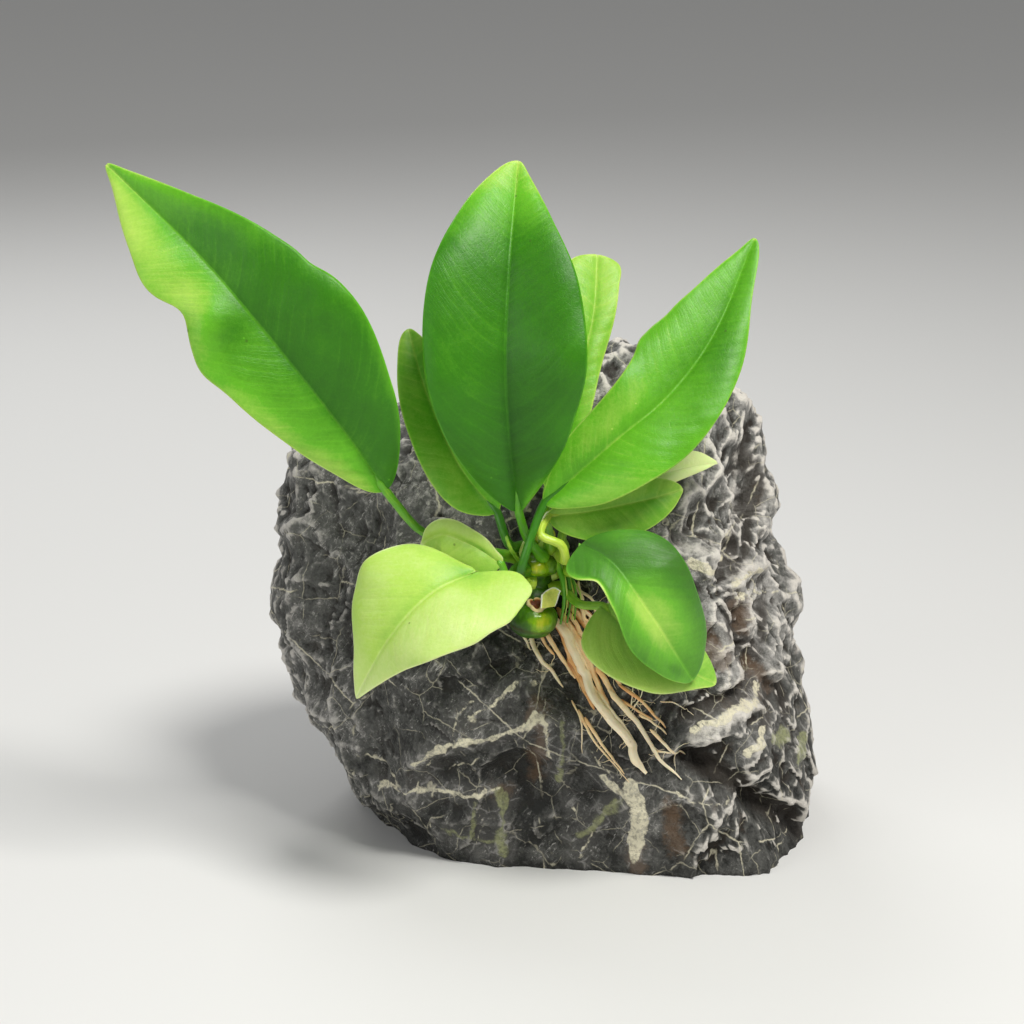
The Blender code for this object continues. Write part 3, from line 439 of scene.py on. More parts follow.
# ---- roots ---------------------------------------------------------------------------------------
# each root, then the thinner strands that lie against it: (x, z) points down the stone, start and end
# radius, lift, tan share
ROOTS = {
    "main": (
        (((-2, 67), (1, 63.5), (3, 60), (5, 56), (7, 52), (8, 48), (12, 43), (16, 38), (18, 33), (21, 28)),
         1.2, 1.1, 0.9, 0.08),
        (((-3, 67), (0, 63.5), (1.6, 60), (3, 56), (5.4, 51), (7.4, 47.5)), 0.9, 0.7, 0.0, 0.75),
        (((-1, 68), (3, 63.5), (6, 59), (8.4, 53), (10.5, 48), (12.5, 44)), 0.9, 0.6, 0.0, 0.55),
        (((2, 57), (4.4, 52), (6.6, 48), (8.5, 44.5)), 0.9, 0.4, -0.2, 0.80),
        (((1, 66), (4, 61), (6.4, 56), (8.4, 51.5)), 0.7, 0.4, 0.7, 0.35),
        (((8, 50), (10.6, 46), (14, 41), (17.2, 36), (19.2, 31)), 0.7, 0.5, 0.1, 0.20),
        (((9.4, 49), (12.4, 44.6), (16, 40), (18.6, 35)), 0.55, 0.3, 0.5, 0.05)),
    "right": (
        (((12, 50), (15, 46), (19, 41), (22, 36), (25, 31), (30, 26)), 0.85, 0.3, 0.5, 0.08),
        (((9, 55), (11, 52), (13.5, 48), (16.5, 44)), 0.8, 0.5, 0.2, 0.50),
        (((23, 34), (26.5, 33.4), (30, 31.8)), 0.3, 0.14, 0.1, 0.05)),
    "ochre": (
        (((14, 51), (19, 47.5), (23, 43), (26, 39)), 0.5, 0.25, 0.3, 0.6),
        (((14.5, 47.5), (18.4, 44.6), (22.8, 42)), 0.45, 0.2, 0.2, 0.6)),
    "left": (
        (((-6.5, 66), (-7, 61.5), (-5, 57), (-2, 53), (1, 49)), 0.75, 0.35, 0.3, 0.15),
        (((-8.5, 65.5), (-9.2, 61.8), (-8.2, 60.2), (-7.0, 57.5)), 0.5, 0.25, 0.1, 0.05)),
    "tan": (
        (((-4, 66), (-3, 62), (-1, 58.5), (1.5, 55), (4, 51)), 0.7, 0.4, 0.3, 0.45),
        (((-5, 66), (-4.4, 62), (-3.2, 59.4), (-1.2, 57)), 0.55, 0.3, 0.1, 0.60)),
    "lower_left": (
        (((6, 43), (9, 38), (13, 32), (16, 28)), 0.5, 0.2, 0.0, 0.40),
        (((4.6, 44.5), (7.2, 39), (11, 33.4), (17.2, 25.8)), 0.4, 0.15, 0.0, 0.30),
        (((2.8, 46.5), (5.2, 42), (5.4, 37), (5.6, 33.5)), 0.28, 0.12, 0.0, 0.2)),
    "branch": (
        (((22, 40), (25, 36), (28, 33), (31, 31)), 0.5, 0.2, 0.4, 0.20),
        (((17.5, 44.5), (19.4, 47.4), (20.2, 50.4)), 0.22, 0.1, 0.4, 0.0),
        (((17.0, 44.8), (17.4, 47.8), (17.8, 51)), 0.2, 0.1, 0.5, 0.0),
        (((24, 46.5), (28, 45.4), (30.5, 43.4)), 0.22, 0.1, 0.2, 0.1),
        (((19, 43.5), (22.4, 41.6), (26.2, 37.4)), 0.4, 0.2, 0.3, 0.25)),
    "side": (
        (((1, 70), (5, 66), (8.5, 61), (11, 56), (12.2, 52.5)), 0.9, 0.7, 0.2, 0.50),
        (((3, 68), (7, 62.5), (10, 58), (13, 53.4), (15, 50)), 0.7, 0.5, 0.1, 0.60),
        (((4.5, 69), (9, 64), (12.5, 59.5), (15.5, 55)), 0.6, 0.4, 0.3, 0.75),
        (((2, 67), (6, 61), (9.4, 55.6), (11.4, 50.4)), 0.6, 0.4, 0.5, 0.35),
        (((4.4, 75), (5.2, 71.4), (6.6, 67), (8.4, 62.6)), 0.5, 0.35, 3.4, 0.30),
        (((6.2, 74.6), (6.8, 71.2), (8.2, 67.4), (9.6, 64)), 0.4, 0.25, 2.6, 0.15),
        (((3.2, 73), (4.4, 69.4), (6.2, 65.4), (8, 61)), 0.6, 0.45, 2.2, 0.50)),
}
ROOT_STEP = 0.9
ROOT_MIN_POINTS = 5
ROOT_ABOVE = 0.55                # height of a root's middle above the stone, share of its radius
ROOT_TAPER = ((0, 0.08, 0.9, 1), (0.4, 1, 1, 0.35))      # places along a root, shares of its radius
ROOT_TOP_TAN = 0.28              # how much more tan a root is at its top
ROOT_TOP_SHARE = 0.45            # and over which share of its length
ROOT_UNEVENNESS_SIZE = 2.2
LIFT_LOSS = 0.75                 # share of its lift that a strand has lost at its end
ROOTLET_COUNT = 60
ROOTLET_LENGTH = (1.5, 5.5)
ROOTLET_RADIUS = (0.05, 0.11)
ROOTLET_STEPS = 7
ROOTLET_HEADING = (-2.6, 0.4)    # radians from the right
ROOTLET_BEND = 0.35
ROOTLET_LIFT = (0.1, 0.25)       # off the stone everywhere, and here and there
ROOTLET_TAN = 0.3
ROOTLET_UNEVENNESS_SIZE = 1.5
ROOTLET_SEED = 5
# what the node tree of the strands is given, with the kind of each socket
STRAND_INPUTS = {"Geometry": "Geometry", "Sides": "Int", "Spacing": "Float", "Unevenness": "Float",
                 "Unevenness Size": "Float", "Material": "Material"}


# ---- helpers -------------------------------------------------------------------------------
def screen_colour(red, green, blue):
    """Screen values from 0 to 255 as the linear colour that shaders use."""
    linear = []
    for value in (red, green, blue):
        share = value / 255
        linear.append(share / 12.92 if share <= 0.04045 else ((share + 0.055) / 1.055) ** 2.4)
    return tuple(linear)


def smooth_through(values, t):
    """Values at each t, from 0 to 1, of the smooth curve through evenly spaced values."""
    values = np.asarray(values, float)
    t = np.asarray(t, float)
    slopes = np.gradient(values, axis=0)
    last = len(values) - 1
    start = np.clip((t * last).astype(int), 0, last - 1)
    f = t * last - start
    if values.ndim > 1:
        f = f[..., None]
    a, b = values[start], values[start + 1]
    slope_a, slope_b = slopes[start], slopes[start + 1]
    return ((2 * f ** 3 - 3 * f ** 2 + 1) * a + (f ** 3 - 2 * f ** 2 + f) * slope_a
            + (3 * f ** 2 - 2 * f ** 3) * b + (f ** 3 - f ** 2) * slope_b)


def unit(vectors):
    vectors = np.asarray(vectors, float)
    return vectors / np.linalg.norm(vectors, axis=-1, keepdims=True)


def eased(values, low, high):
    """0 below low, 1 above high, and a smooth rise between."""
    share = np.clip((values - low) / (high - low), 0, 1)
    return share * share * (3 - 2 * share)


def noise_at(points, size):
    """Smooth noise from about -1 to 1 with features of the given size."""
    return np.array([noise.noise(Vector(place)) for place in points / np.asarray(size, float)])


def cells_at(points, size):
    """Distance to the nearest of scattered middles, as a share of their spacing."""
    return np.array([noise.voronoi(Vector(place))[0][0] for place in points / size])


def mesh_points(mesh):
    flat = np.empty(len(mesh.vertices) * 3)
    mesh.vertices.foreach_get("co", flat)
    return flat.reshape(-1, 3) / MM


def mesh_normals(mesh):
    flat = np.empty(len(mesh.vertices) * 3)
    mesh.vertices.foreach_get("normal", flat)
    return flat.reshape(-1, 3)


def set_points(mesh, points):
    mesh.vertices.foreach_set("co", (np.asarray(points) * MM).ravel())
    mesh.update()


def store(mesh, name, values):
    """Keeps a number or a vector for each vertex under a name."""
    values = np.asarray(values, float)
    kind, field = ("FLOAT", "value") if values.ndim == 1 else ("FLOAT_VECTOR", "vector")
    attribute = mesh.attributes.new(name, kind, "POINT")
    attribute.data.foreach_set(field, values.ravel())


def new_object(name, data):
    """Puts new data into the scene."""
    item = bpy.data.objects.new(name, data)
    bpy.context.scene.collection.objects.link(item)
    return item


def plain_mesh(carrier, name):
    """The mesh that an object's modifiers make, without them; the object itself goes."""
    graph = bpy.context.evaluated_depsgraph_get()
    result = bpy.data.meshes.new_from_object(carrier.evaluated_get(graph), depsgraph=graph)
    result.name = name
    source = carrier.data
    bpy.data.objects.remove(carrier, do_unlink=True)
    bpy.data.meshes.remove(source)
    return result


def add_piece(name, mesh, finish, slot, *nodes):
    """Shows a finished mesh as a piece of the plant, in place of the solids it stands for."""
    piece = new_object(name, mesh)
    mesh.materials.clear()
    mesh.materials.append(finish)
    mesh.shade_smooth()
    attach(piece, "root")
    if nodes:
        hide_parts(*nodes)


def mesh_skin(mesh):
    """Search tree of a mesh's surface."""
    points = [vertex.co for vertex in mesh.vertices]
    return BVHTree.FromPolygons(points, [tuple(face.vertices) for face in mesh.polygons])


def on_front(skin, x, z):
    """Point of the stone's front at (x, z), in millimetres, and its outward normal."""
    point, normal, _, _ = skin.ray_cast(Vector((x, FRONT_START_Y, z)) * MM, Vector((0, 1, 0)))
    return np.array(point) / MM, np.array(normal)


# ---- node trees ----------------------------------------------------------------------------
def add_node(tree, kind, settings, sockets):
    """Adds a node to a tree: its settings first, then the values or links of its sockets."""
    node = tree.nodes.new(kind)
    for name, value in settings.items():
        if name == "stops":
            ramp = node.color_ramp
            while len(ramp.elements) < len(value):
                ramp.elements.new(1.0)
            for element, (place, colour) in zip(ramp.elements, value):
                element.position = place
                element.color = (*colour, 1.0)
        else:
            setattr(node, name, value)
    for key, value in sockets.items():
        if isinstance(value, Field):
            value = value.socket
        elif isinstance(value, bpy.types.Node):
            value = value.outputs[0]
        if isinstance(value, bpy.types.NodeSocket):
            tree.links.new(value, node.inputs[key])
        else:
            node.inputs[key].default_value = value
    return node


class Field:
    """A value that varies over a surface: arithmetic on it adds the nodes that work it out."""

    def __init__(self, tree, socket):
        self.tree = tree
        self.socket = socket

    def maths(self, operation, *values, clamp=False):
        sockets = dict(enumerate(values))
        node = add_node(self.tree, "ShaderNodeMath", {"operation": operation, "use_clamp": clamp}, sockets)
        return Field(self.tree, node.outputs[0])

    def __add__(self, other):
        return self.maths("ADD", self, other)

    __radd__ = __add__

    def __sub__(self, other):
        return self.maths("SUBTRACT", self, other)

    def __rsub__(self, other):
        return self.maths("SUBTRACT", other, self)

    def __mul__(self, other):
        return self.maths("MULTIPLY", self, other)

    __rmul__ = __mul__

    def __truediv__(self, other):
        return self.maths("DIVIDE", self, other)

    def __abs__(self):
        return self.maths("ABSOLUTE", self)

    def clamped(self):
        return self.maths("ADD", self, 0.0, clamp=True)

    def least(self, other):
        return self.maths("MINIMUM", self, other)

    def most(self, other):
        return self.maths("MAXIMUM", self, other)

    def line(self, spacing):
        """Distance from the middle of evenly spaced lines, from 0 on a line to 0.5 between them."""
        return abs(self.maths("FRACT", self / spacing) - 0.5)


class Finish:
    """A material being built, with the fields and nodes that a surface needs."""

    def __init__(self, name):
        self.material = bpy.data.materials.new(name)
        self.material.use_nodes = True
        self.tree = self.material.node_tree
        self.tree.nodes.clear()

    def node(self, kind, settings, sockets, output=0):
        node = add_node(self.tree, "ShaderNode" + kind, settings, sockets)
        return Field(self.tree, node.outputs[output])

    def place(self):
        """Where a point of the piece is, in millimetres."""
        where = self.node("TexCoord", {}, {}, "Object")
        return self.scaled(where, (1 / MM, 1 / MM, 1 / MM))

    def scaled(self, vector, factors):
        return self.node("VectorMath", {"operation": "MULTIPLY"}, {0: vector, 1: factors})

    def vector(self, x, y, z):
        return self.node("CombineXYZ", {}, {0: x, 1: y, 2: z})

    def split(self, name):
        """The three numbers of a vector that the mesh keeps under a name."""
        kept = self.node("Attribute", {"attribute_name": name}, {}, "Vector")
        parts = add_node(self.tree, "ShaderNodeSeparateXYZ", {}, {0: kept})
        return [Field(self.tree, output) for output in parts.outputs]

    def number(self, name):
        return self.node("Attribute", {"attribute_name": name}, {}, "Fac")

    def noise(self, vector, size, detail, roughness):
        """Noise from 0 to 1, mostly near 0.5, with features of a size in mm."""
        return self.node("TexNoise", {}, {
            "Vector": vector, "Scale": 1 / size, "Detail": detail, "Roughness": roughness})

    def warped(self, vector, size, amount):
        """A vector pushed about by noise, by up to about half the amount each way."""
        push = self.node("TexNoise", {}, {"Vector": vector, "Scale": 1 / size, "Detail": 2.0}, "Color")
        push = self.node("VectorMath", {"operation": "MULTIPLY_ADD"}, {
            0: push, 1: (amount, amount, amount), 2: (-amount / 2, -amount / 2, -amount / 2)})
        return self.node("VectorMath", {"operation": "ADD"}, {0: vector, 1: push})

    def cracks(self, vector, size):
        """Distance in mm to the borders between cells of a size in mm."""
        edge = self.node("TexVoronoi", {"feature": "DISTANCE_TO_EDGE"}, {"Vector": vector, "Scale": 1 / size})
        return edge * size

    def spots(self, vector, size):
        """Distance in mm to scattered middles that are about a size in mm apart."""
        near = self.node("TexVoronoi", {"feature": "F1"}, {"Vector": vector, "Scale": 1 / size})
        return near * size

    def step(self, value, low, high):
        """0 at low and 1 at high, with a smooth change between; low may be above high."""
        return self.node("MapRange", {"interpolation_type": "SMOOTHSTEP"}, {
            "Value": value, "From Min": low, "From Max": high})

    def mix(self, share, first, second):
        """The second colour over the first; each is a field or red, green and blue."""
        first, second = [c if isinstance(c, Field) else (*c, 1.0) for c in (first, second)]
        return self.node("Mix", {"data_type": "RGBA", "clamp_factor": True}, {
            0: share, 6: first, 7: second}, 2)

    def ramp(self, value, *stops):
        """Colours by a value from 0 to 1; each stop is its place and its colour."""
        return self.node("ValToRGB", {"stops": stops}, {0: value}, "Color")

    def close(self, colour, roughness, relief, gloss, glow=0.0, glow_reach=(1.0, 0.2, 0.1)):
        """Ends the material: relief is a height in mm, gloss the shader's specular level, and glow the
        share of light that spreads inside, as far as glow_reach says for red, green and blue in mm."""
        bump = self.node("Bump", {}, {"Height": relief, "Distance": MM, "Strength": 1.0}, "Normal")
        shader = self.node("BsdfPrincipled", {}, {
            "Base Color": colour, "Roughness": roughness, "Normal": bump, "Specular IOR Level": gloss,
            "Subsurface Weight": glow, "Subsurface Radius": glow_reach, "Subsurface Scale": MM}, "BSDF")
        add_node(self.tree, "ShaderNodeOutputMaterial", {}, {"Surface": shader})
        return self.material


# ---- settings ------------------------------------------------------------------------------
def length_setting(name, description, metres):
    return FloatProperty(name=name, description=description, default=metres, unit="LENGTH")


def colour_setting(name, description, *screen):
    return FloatVectorProperty(name=name, description=description, subtype="COLOR", min=0.0, max=1.0,
                               default=screen_colour(*screen))


class StoneSettings(bpy.types.PropertyGroup):
    fineness: IntProperty(
        name="Fineness", description="Subdivisions of the stone's skin", default=7, min=5, max=8)
    fine_front: FloatProperty(
        name="Fine front", description="The skin has twice the points where it faces more than this "
        "to the front", default=0.2, min=-1.0, max=1.0)
    relief: FloatProperty(
        name="Relief", description="Height of the fine chips and grains, as a share", default=1.0,
        min=0.0, max=2.0)
    dark: colour_setting("Dark stone", "Colour of the darkest faces", 22, 23, 19)
    grey: colour_setting("Grey stone", "Colour of the middle grey faces", 88, 88, 84)
    light: colour_setting("Light stone", "Colour of the palest faces", 180, 177, 172)
    # the worn edge colour is partly wear and partly a painted highlight on the ridges
    edge: colour_setting("Worn edge", "Colour of the worn ridges", 226, 220, 210)
    cream: colour_setting("Cream vein", "Colour of the white and cream veins", 222, 215, 188)
    green: colour_setting("Green vein", "Colour of the greenish veins", 156, 160, 112)
    rust: colour_setting("Rust", "Colour of the rusty stains", 112, 84, 56)
    # painted shade: the soil brown that the hollows, pits and grooves are darkened towards
    hollow_shade: colour_setting("Hollows", "Colour of the dirt in the hollows", 40, 33, 25)


class LeafSettings(bpy.types.PropertyGroup):
    rows: IntProperty(name="Rows", description="Rows of faces from base to tip", default=150, min=12)
    columns: IntProperty(name="Columns", description="Faces across the blade", default=56, min=8)
    thickness: length_setting("Thickness", "Thickness of a blade beside its midrib", 0.00055)
    vein_spacing: length_setting("Vein spacing", "Distance between the side veins along the midrib", 0.0036)
    quilting: length_setting("Quilting", "How far the blade rises between two side veins", 0.00009)
    deep: colour_setting("Deep green", "Colour of the darkest leaves", 24, 76, 3)
    green: colour_setting("Leaf green", "Colour of grown leaves", 52, 120, 6)
    fresh: colour_setting("Fresh green", "Colour of lighter leaves", 98, 172, 32)
    lime: colour_setting("Lime", "Colour of young leaves", 176, 212, 90)
    pale: colour_setting("Pale lime", "Colour of the palest leaves", 218, 234, 160)


class StrandSettings(bpy.types.PropertyGroup):
    stalk_radius: length_setting("Stalk radius", "Radius of a leaf stalk", 0.0011)
    sides: IntProperty(name="Sides", description="Faces around a stalk or a root", default=12, min=5)
    spacing: length_setting("Spacing", "Distance between the rings of a strand", 0.0004)
    root_unevenness: length_setting("Root unevenness", "How far a root's surface wanders", 0.0004)
    cream: colour_setting("Cream root", "Colour of clean roots", 255, 224, 174)
    tan: colour_setting("Tan root", "Colour of old root skin", 232, 172, 104)
    red: colour_setting("Reddish root", "Colour of the reddest root skin", 180, 116, 76)


class StageSettings(bpy.types.PropertyGroup):
    floor: colour_setting("Floor", "Colour of the plain floor", 222, 222, 220)
    sky: FloatProperty(name="Surround", description="Strength of the even light", default=0.26, min=0.0)
    exposure: FloatProperty(name="Exposure", description="Exposure of the picture", default=0.0)


# ---- stone ---------------------------------------------------------------------------------
def block_planes():
    """Unit normals and distances of the faces of the block that the corners span."""
    cage = bmesh.new()
    for corner in FOOT + LOW_CORNERS + MIDDLE_CORNERS + TOP_CORNERS:
        cage.verts.new(np.subtract(corner, STONE_MIDDLE))
    bmesh.ops.convex_hull(cage, input=cage.verts)
    bmesh.ops.dissolve_limit(cage, angle_limit=math.radians(BLOCK_FLAT_ANGLE), verts=cage.verts,
                             edges=cage.edges)
    cage.normal_update()
    normals = np.array([face.normal for face in cage.faces])
    distances = np.array([face.normal.dot(face.verts[0].co) for face in cage.faces])
    cage.free()
    return normals, distances


def block_reach(directions):
    """Distance from the stone's middle to the block's softened faces along unit directions."""
    normals, distances = block_planes()
    nearness = np.clip(directions @ normals.T / distances, 0, None)
    return (nearness ** STONE_SHARPNESS).sum(axis=1) ** (-1 / STONE_SHARPNESS)


def chip_depths(points):
    """Depth of the scoops: each point belongs to the scoop whose middle is nearest."""
    scatter = np.random.default_rng(CHIP_SEED)
    middles = unit(scatter.normal(size=(CHIP_COUNT, 3)))
    middles = np.array(STONE_MIDDLE) + middles * block_reach(middles)[:, None]
    sizes = scatter.uniform(0, CHIP_VARIETY, CHIP_COUNT)
    spans = [(((part[:, None, :] - middles[None, :, :]) ** 2).sum(axis=2) + sizes).min(axis=1)
             for part in np.array_split(points, len(points) // STONE_CHUNK + 1)]
    return CHIP_BITE - np.minimum(CHIP_HOLLOW * np.concatenate(spans), CHIP_RIM)


def path_distance(x, z, path):
    """Distance of each (x, z) from a broken line."""
    best = np.full(len(x), np.inf)
    for (x0, z0), (x1, z1) in zip(path[:-1], path[1:]):
        run_x, run_z = x1 - x0, z1 - z0
        along = np.clip(((x - x0) * run_x + (z - z0) * run_z) / (run_x ** 2 + run_z ** 2), 0, 1)
        best = np.minimum(best, np.hypot(x - x0 - along * run_x, z - z0 - along * run_z))
    return best


def frontness(points):
    """1 on the stone's front, 0 from a little way round its sides."""
    return np.clip((MARKS_END_Y - points[:, 1]) / MARKS_FADE, 0, 1)


def front_mark_depths(points):
    """Depth of the named grooves and ridges of the front."""
    depth = np.zeros(len(points))
    for path, half_width, mark_depth in FRONT_MARKS:
        distance = path_distance(points[:, 0], points[:, 2], path)
        depth += mark_depth * frontness(points) * np.exp(-(distance / half_width) ** MARK_SHARPNESS)
    return depth


def side_mark_depths(points):
    """Depth of the hollows and bulges of the outline."""
    spans = [np.hypot(points[:, 0] - x, points[:, 2] - z) / reach for (x, z), reach, _ in SIDE_MARKS]
    return sum(depth * np.exp(-span ** 2) for span, (_, _, depth) in zip(spans, SIDE_MARKS))


def cragginess(points):
    """How broken the stone's skin is: smooth low on the front, craggy elsewhere."""
    shares = [share * np.clip((points @ np.array(direction) - start) / (full - start), 0, 1)
              for share, direction, start, full in CRAGGY_GROUND]
    return np.clip(SMOOTH_GROUND + np.max(shares, axis=0), 0, 1)


def bent_places(points):
    """Points pushed about by slow noise, so that pits and flutes wander."""
    bends = [noise_at(points + shift, PIT_WANDER_SIZE) for shift in PIT_WANDER_SHIFTS]
    return points + PIT_WANDER * np.stack(bends, axis=1)


def pit_depths(points, bent, size, depths, rim):
    """Depth of pits of a size that lie side by side, with sharp ridges between them."""
    smooth, craggy = depths
    depth = smooth + (craggy - smooth) * cragginess(points)
    return depth * np.maximum(1 - (cells_at(bent, size) / PIT_REACH) ** 2, -rim)


def flake_depths(points, size):
    """Flat broken flakes: each cell of the given size is a plane with a tilt of its own, from -1 to 1."""
    noise.seed_set(FLAKE_SEED)
    depths = []
    for place in points / size:
        middle = noise.voronoi(Vector(place))[1][0]
        tilt = noise.noise_vector(middle * FLAKE_SCATTER)
        depths.append(2 * tilt.dot(Vector(place) - middle) + noise.noise(middle * FLAKE_SCATTER))
    return np.array(depths)


def fine_depths(points, bent, relief):
    """Depth of the chips, flutes, flakes and grains that the solid is too coarse for."""
    x, _, z = points.T
    depth = pit_depths(points, bent, FINE_CHIP_SIZE, FINE_CHIP_DEPTH, FINE_CHIP_RIM)
    fluted = np.maximum(eased(-x, *LEFT_FLUTES_X), eased(x, *RIGHT_FLUTES_X) * eased(z, *RIGHT_FLUTES_Z))
    depth += FLUTE_HEIGHT * fluted * (2 * np.abs(noise_at(bent, FLUTE_SIZE)) - FLUTE_BED)
    everywhere, added = FLAKE_SHARES
    for size, height in FLAKES:
        depth += height * (everywhere + added * cragginess(points)) * flake_depths(points, size)
    return (depth + GRAIN_HEIGHT * noise_at(points, GRAIN_SIZE)) * relief


def stone_points(directions, relief):
    """Points of the stone's skin, in millimetres, along unit directions from its middle."""
    points = np.array(STONE_MIDDLE) + directions * block_reach(directions)[:, None]
    bent = bent_places(points)
    depth = chip_depths(points) + pit_depths(points, bent, PIT_SIZE, PIT_DEPTH, PIT_RIM)
    depth += front_mark_depths(points)
    depth += side_mark_depths(points) - SWELL_HEIGHT * noise_at(points, SWELL_SIZE)
    depth += fine_depths(points, bent, relief)
    depth *= np.clip(1 - points[:, 2] / UNDERSIDE_Z, 0, 1)
    return points - directions * depth[:, None]


def stone_mesh(settings):
    mesh = bmesh.new()
    bmesh.ops.create_icosphere(mesh, subdivisions=settings.fineness, radius=1.0)
    front = [edge for edge in mesh.edges if max(v.co.y for v in edge.verts) < -settings.fine_front]
    bmesh.ops.subdivide_edges(mesh, edges=front, cuts=1, use_grid_fill=True)
    directions = unit([vertex.co for vertex in mesh.verts])
    for vertex, point in zip(mesh.verts, stone_points(directions, settings.relief) * MM):
        vertex.co = point
    everything = mesh.verts[:] + mesh.edges[:] + mesh.faces[:]
    bmesh.ops.bisect_plane(mesh, geom=everything, dist=FOOT_CUT_TOLERANCE, plane_co=(0, 0, 0),
                           plane_no=(0, 0, 1), clear_inner=True)
    bmesh.ops.holes_fill(mesh, edges=[edge for edge in mesh.edges if edge.is_boundary])
    bmesh.ops.triangulate(mesh, faces=mesh.faces)
    bmesh.ops.recalc_face_normals(mesh, faces=mesh.faces)
    data = bpy.data.meshes.new("stone")
    mesh.to_mesh(data)
    mesh.free()
    return data


def edge_lengths(points, edges):
    """Mean length of the edges that meet at each point, in millimetres."""
    lengths = np.linalg.norm(points[edges[:, 0]] - points[edges[:, 1]], axis=1)
    return np.bincount(edges.ravel(), weights=np.repeat(lengths, 2)) / np.bincount(edges.ravel())


def standing_out(points, normals, edges, passes):
    """How far each point stands out of its neighbourhood, in millimetres."""
    ends = np.concatenate([edges[:, 0], edges[:, 1]])
    others = np.concatenate([edges[:, 1], edges[:, 0]])
    counts = np.bincount(ends, minlength=len(points))
    even = points
    for _ in range(passes):
        sums = [np.bincount(ends, weights=even[others, k], minlength=len(points)) for k in range(3)]
        even = np.stack(sums, axis=1) / counts[:, None]
    return ((points - even) * normals).sum(axis=1)


def nearest_vein(points, veins):
    """Distance from the nearest vein's edge, in millimetres, negative inside it."""
    x, _, z = points.T
    for size, amount in VEIN_WANDER:
        x = x + amount * noise_at(points, size)
        z = z + amount * noise_at(points + VEIN_SHIFT, size)
    swell = 1 + VEIN_SWELL * noise_at(points, VEIN_SWELL_SIZE)
    distances = [path_distance(x, z, path) - half * swell for path, half in veins]
    return np.min(distances, axis=0) + FAR_AWAY * (1 - frontness(points))


def mark_shares(points):
    """How deep each point lies in a named hollow, and how high on a named ridge, from 0 to 1."""
    shares = np.zeros((2, len(points)))
    for path, half_width, depth in FRONT_MARKS:
        span = path_distance(points[:, 0], points[:, 2], path) / half_width
        share = min(1.0, abs(depth) / FULL_MARK) * np.exp(-span ** 2) * frontness(points)
        kind = 0 if depth > 0 else 1
        shares[kind] = np.maximum(shares[kind], share)
    return shares * eased(points[:, 0], *MARK_COLOUR_X)


def stone_tones_and_shading(points):
    """How light the stone is at each point, its own tone with painted light and shade, evened out between the
    named places.
    """
    spans = np.array([np.hypot(points[:, 0] - x, points[:, 2] - z) for (x, z), _ in TONES_AND_SHADING])
    weights = np.exp(-(spans / TONE_REACH) ** 2) + 1e-6
    tones = np.array([tone for _, tone in TONES_AND_SHADING])
    front = (weights * tones[:, None]).sum(axis=0) / weights.sum(axis=0)
    return front + (BACK_TONE - front) * (1 - frontness(points))


def store_stone_looks(mesh):
    points = mesh_points(mesh)
    normals = mesh_normals(mesh)
    edges = np.empty(len(mesh.edges) * 2, int)
    mesh.edges.foreach_get("vertices", edges)
    edges = edges.reshape(-1, 2)
    above_foot = eased(points[:, 2], *FOOT_BLEND)
    coarse = eased(edge_lengths(points, edges), *COARSE_EDGES)
    shapes = []
    for passes in SHAPE_PASSES:
        near = standing_out(points, normals, edges, passes)
        far = standing_out(points, normals, edges, passes // 4)
        shapes.append((near + (far - near) * coarse) * above_foot)
    veins = [nearest_vein(points, kind) for kind in (CREAM_VEINS, GREEN_VEINS, RUST_STAINS)]
    store(mesh, "veins", np.stack(veins, axis=1))
    store(mesh, "form", np.stack([stone_tones_and_shading(points), *shapes], axis=1))
    wear = cragginess(points) - CALM_LEFT * eased(-points[:, 0], *CALM_LEFT_X) * frontness(points)
    store(mesh, "ground", np.stack([*mark_shares(points), np.maximum(wear, SMOOTH_GROUND)], axis=1))


def drawn_out(finish, place, turn, size):
    """Noise that is drawn out upwards, turned by some radians around each axis."""
    stretched = finish.node("Mapping", {"vector_type": "TEXTURE"}, {
        "Vector": place, "Rotation": turn, "Scale": (1.0, 1.0, 5.0)})
    return finish.noise(stretched, size, 5, 0.68)


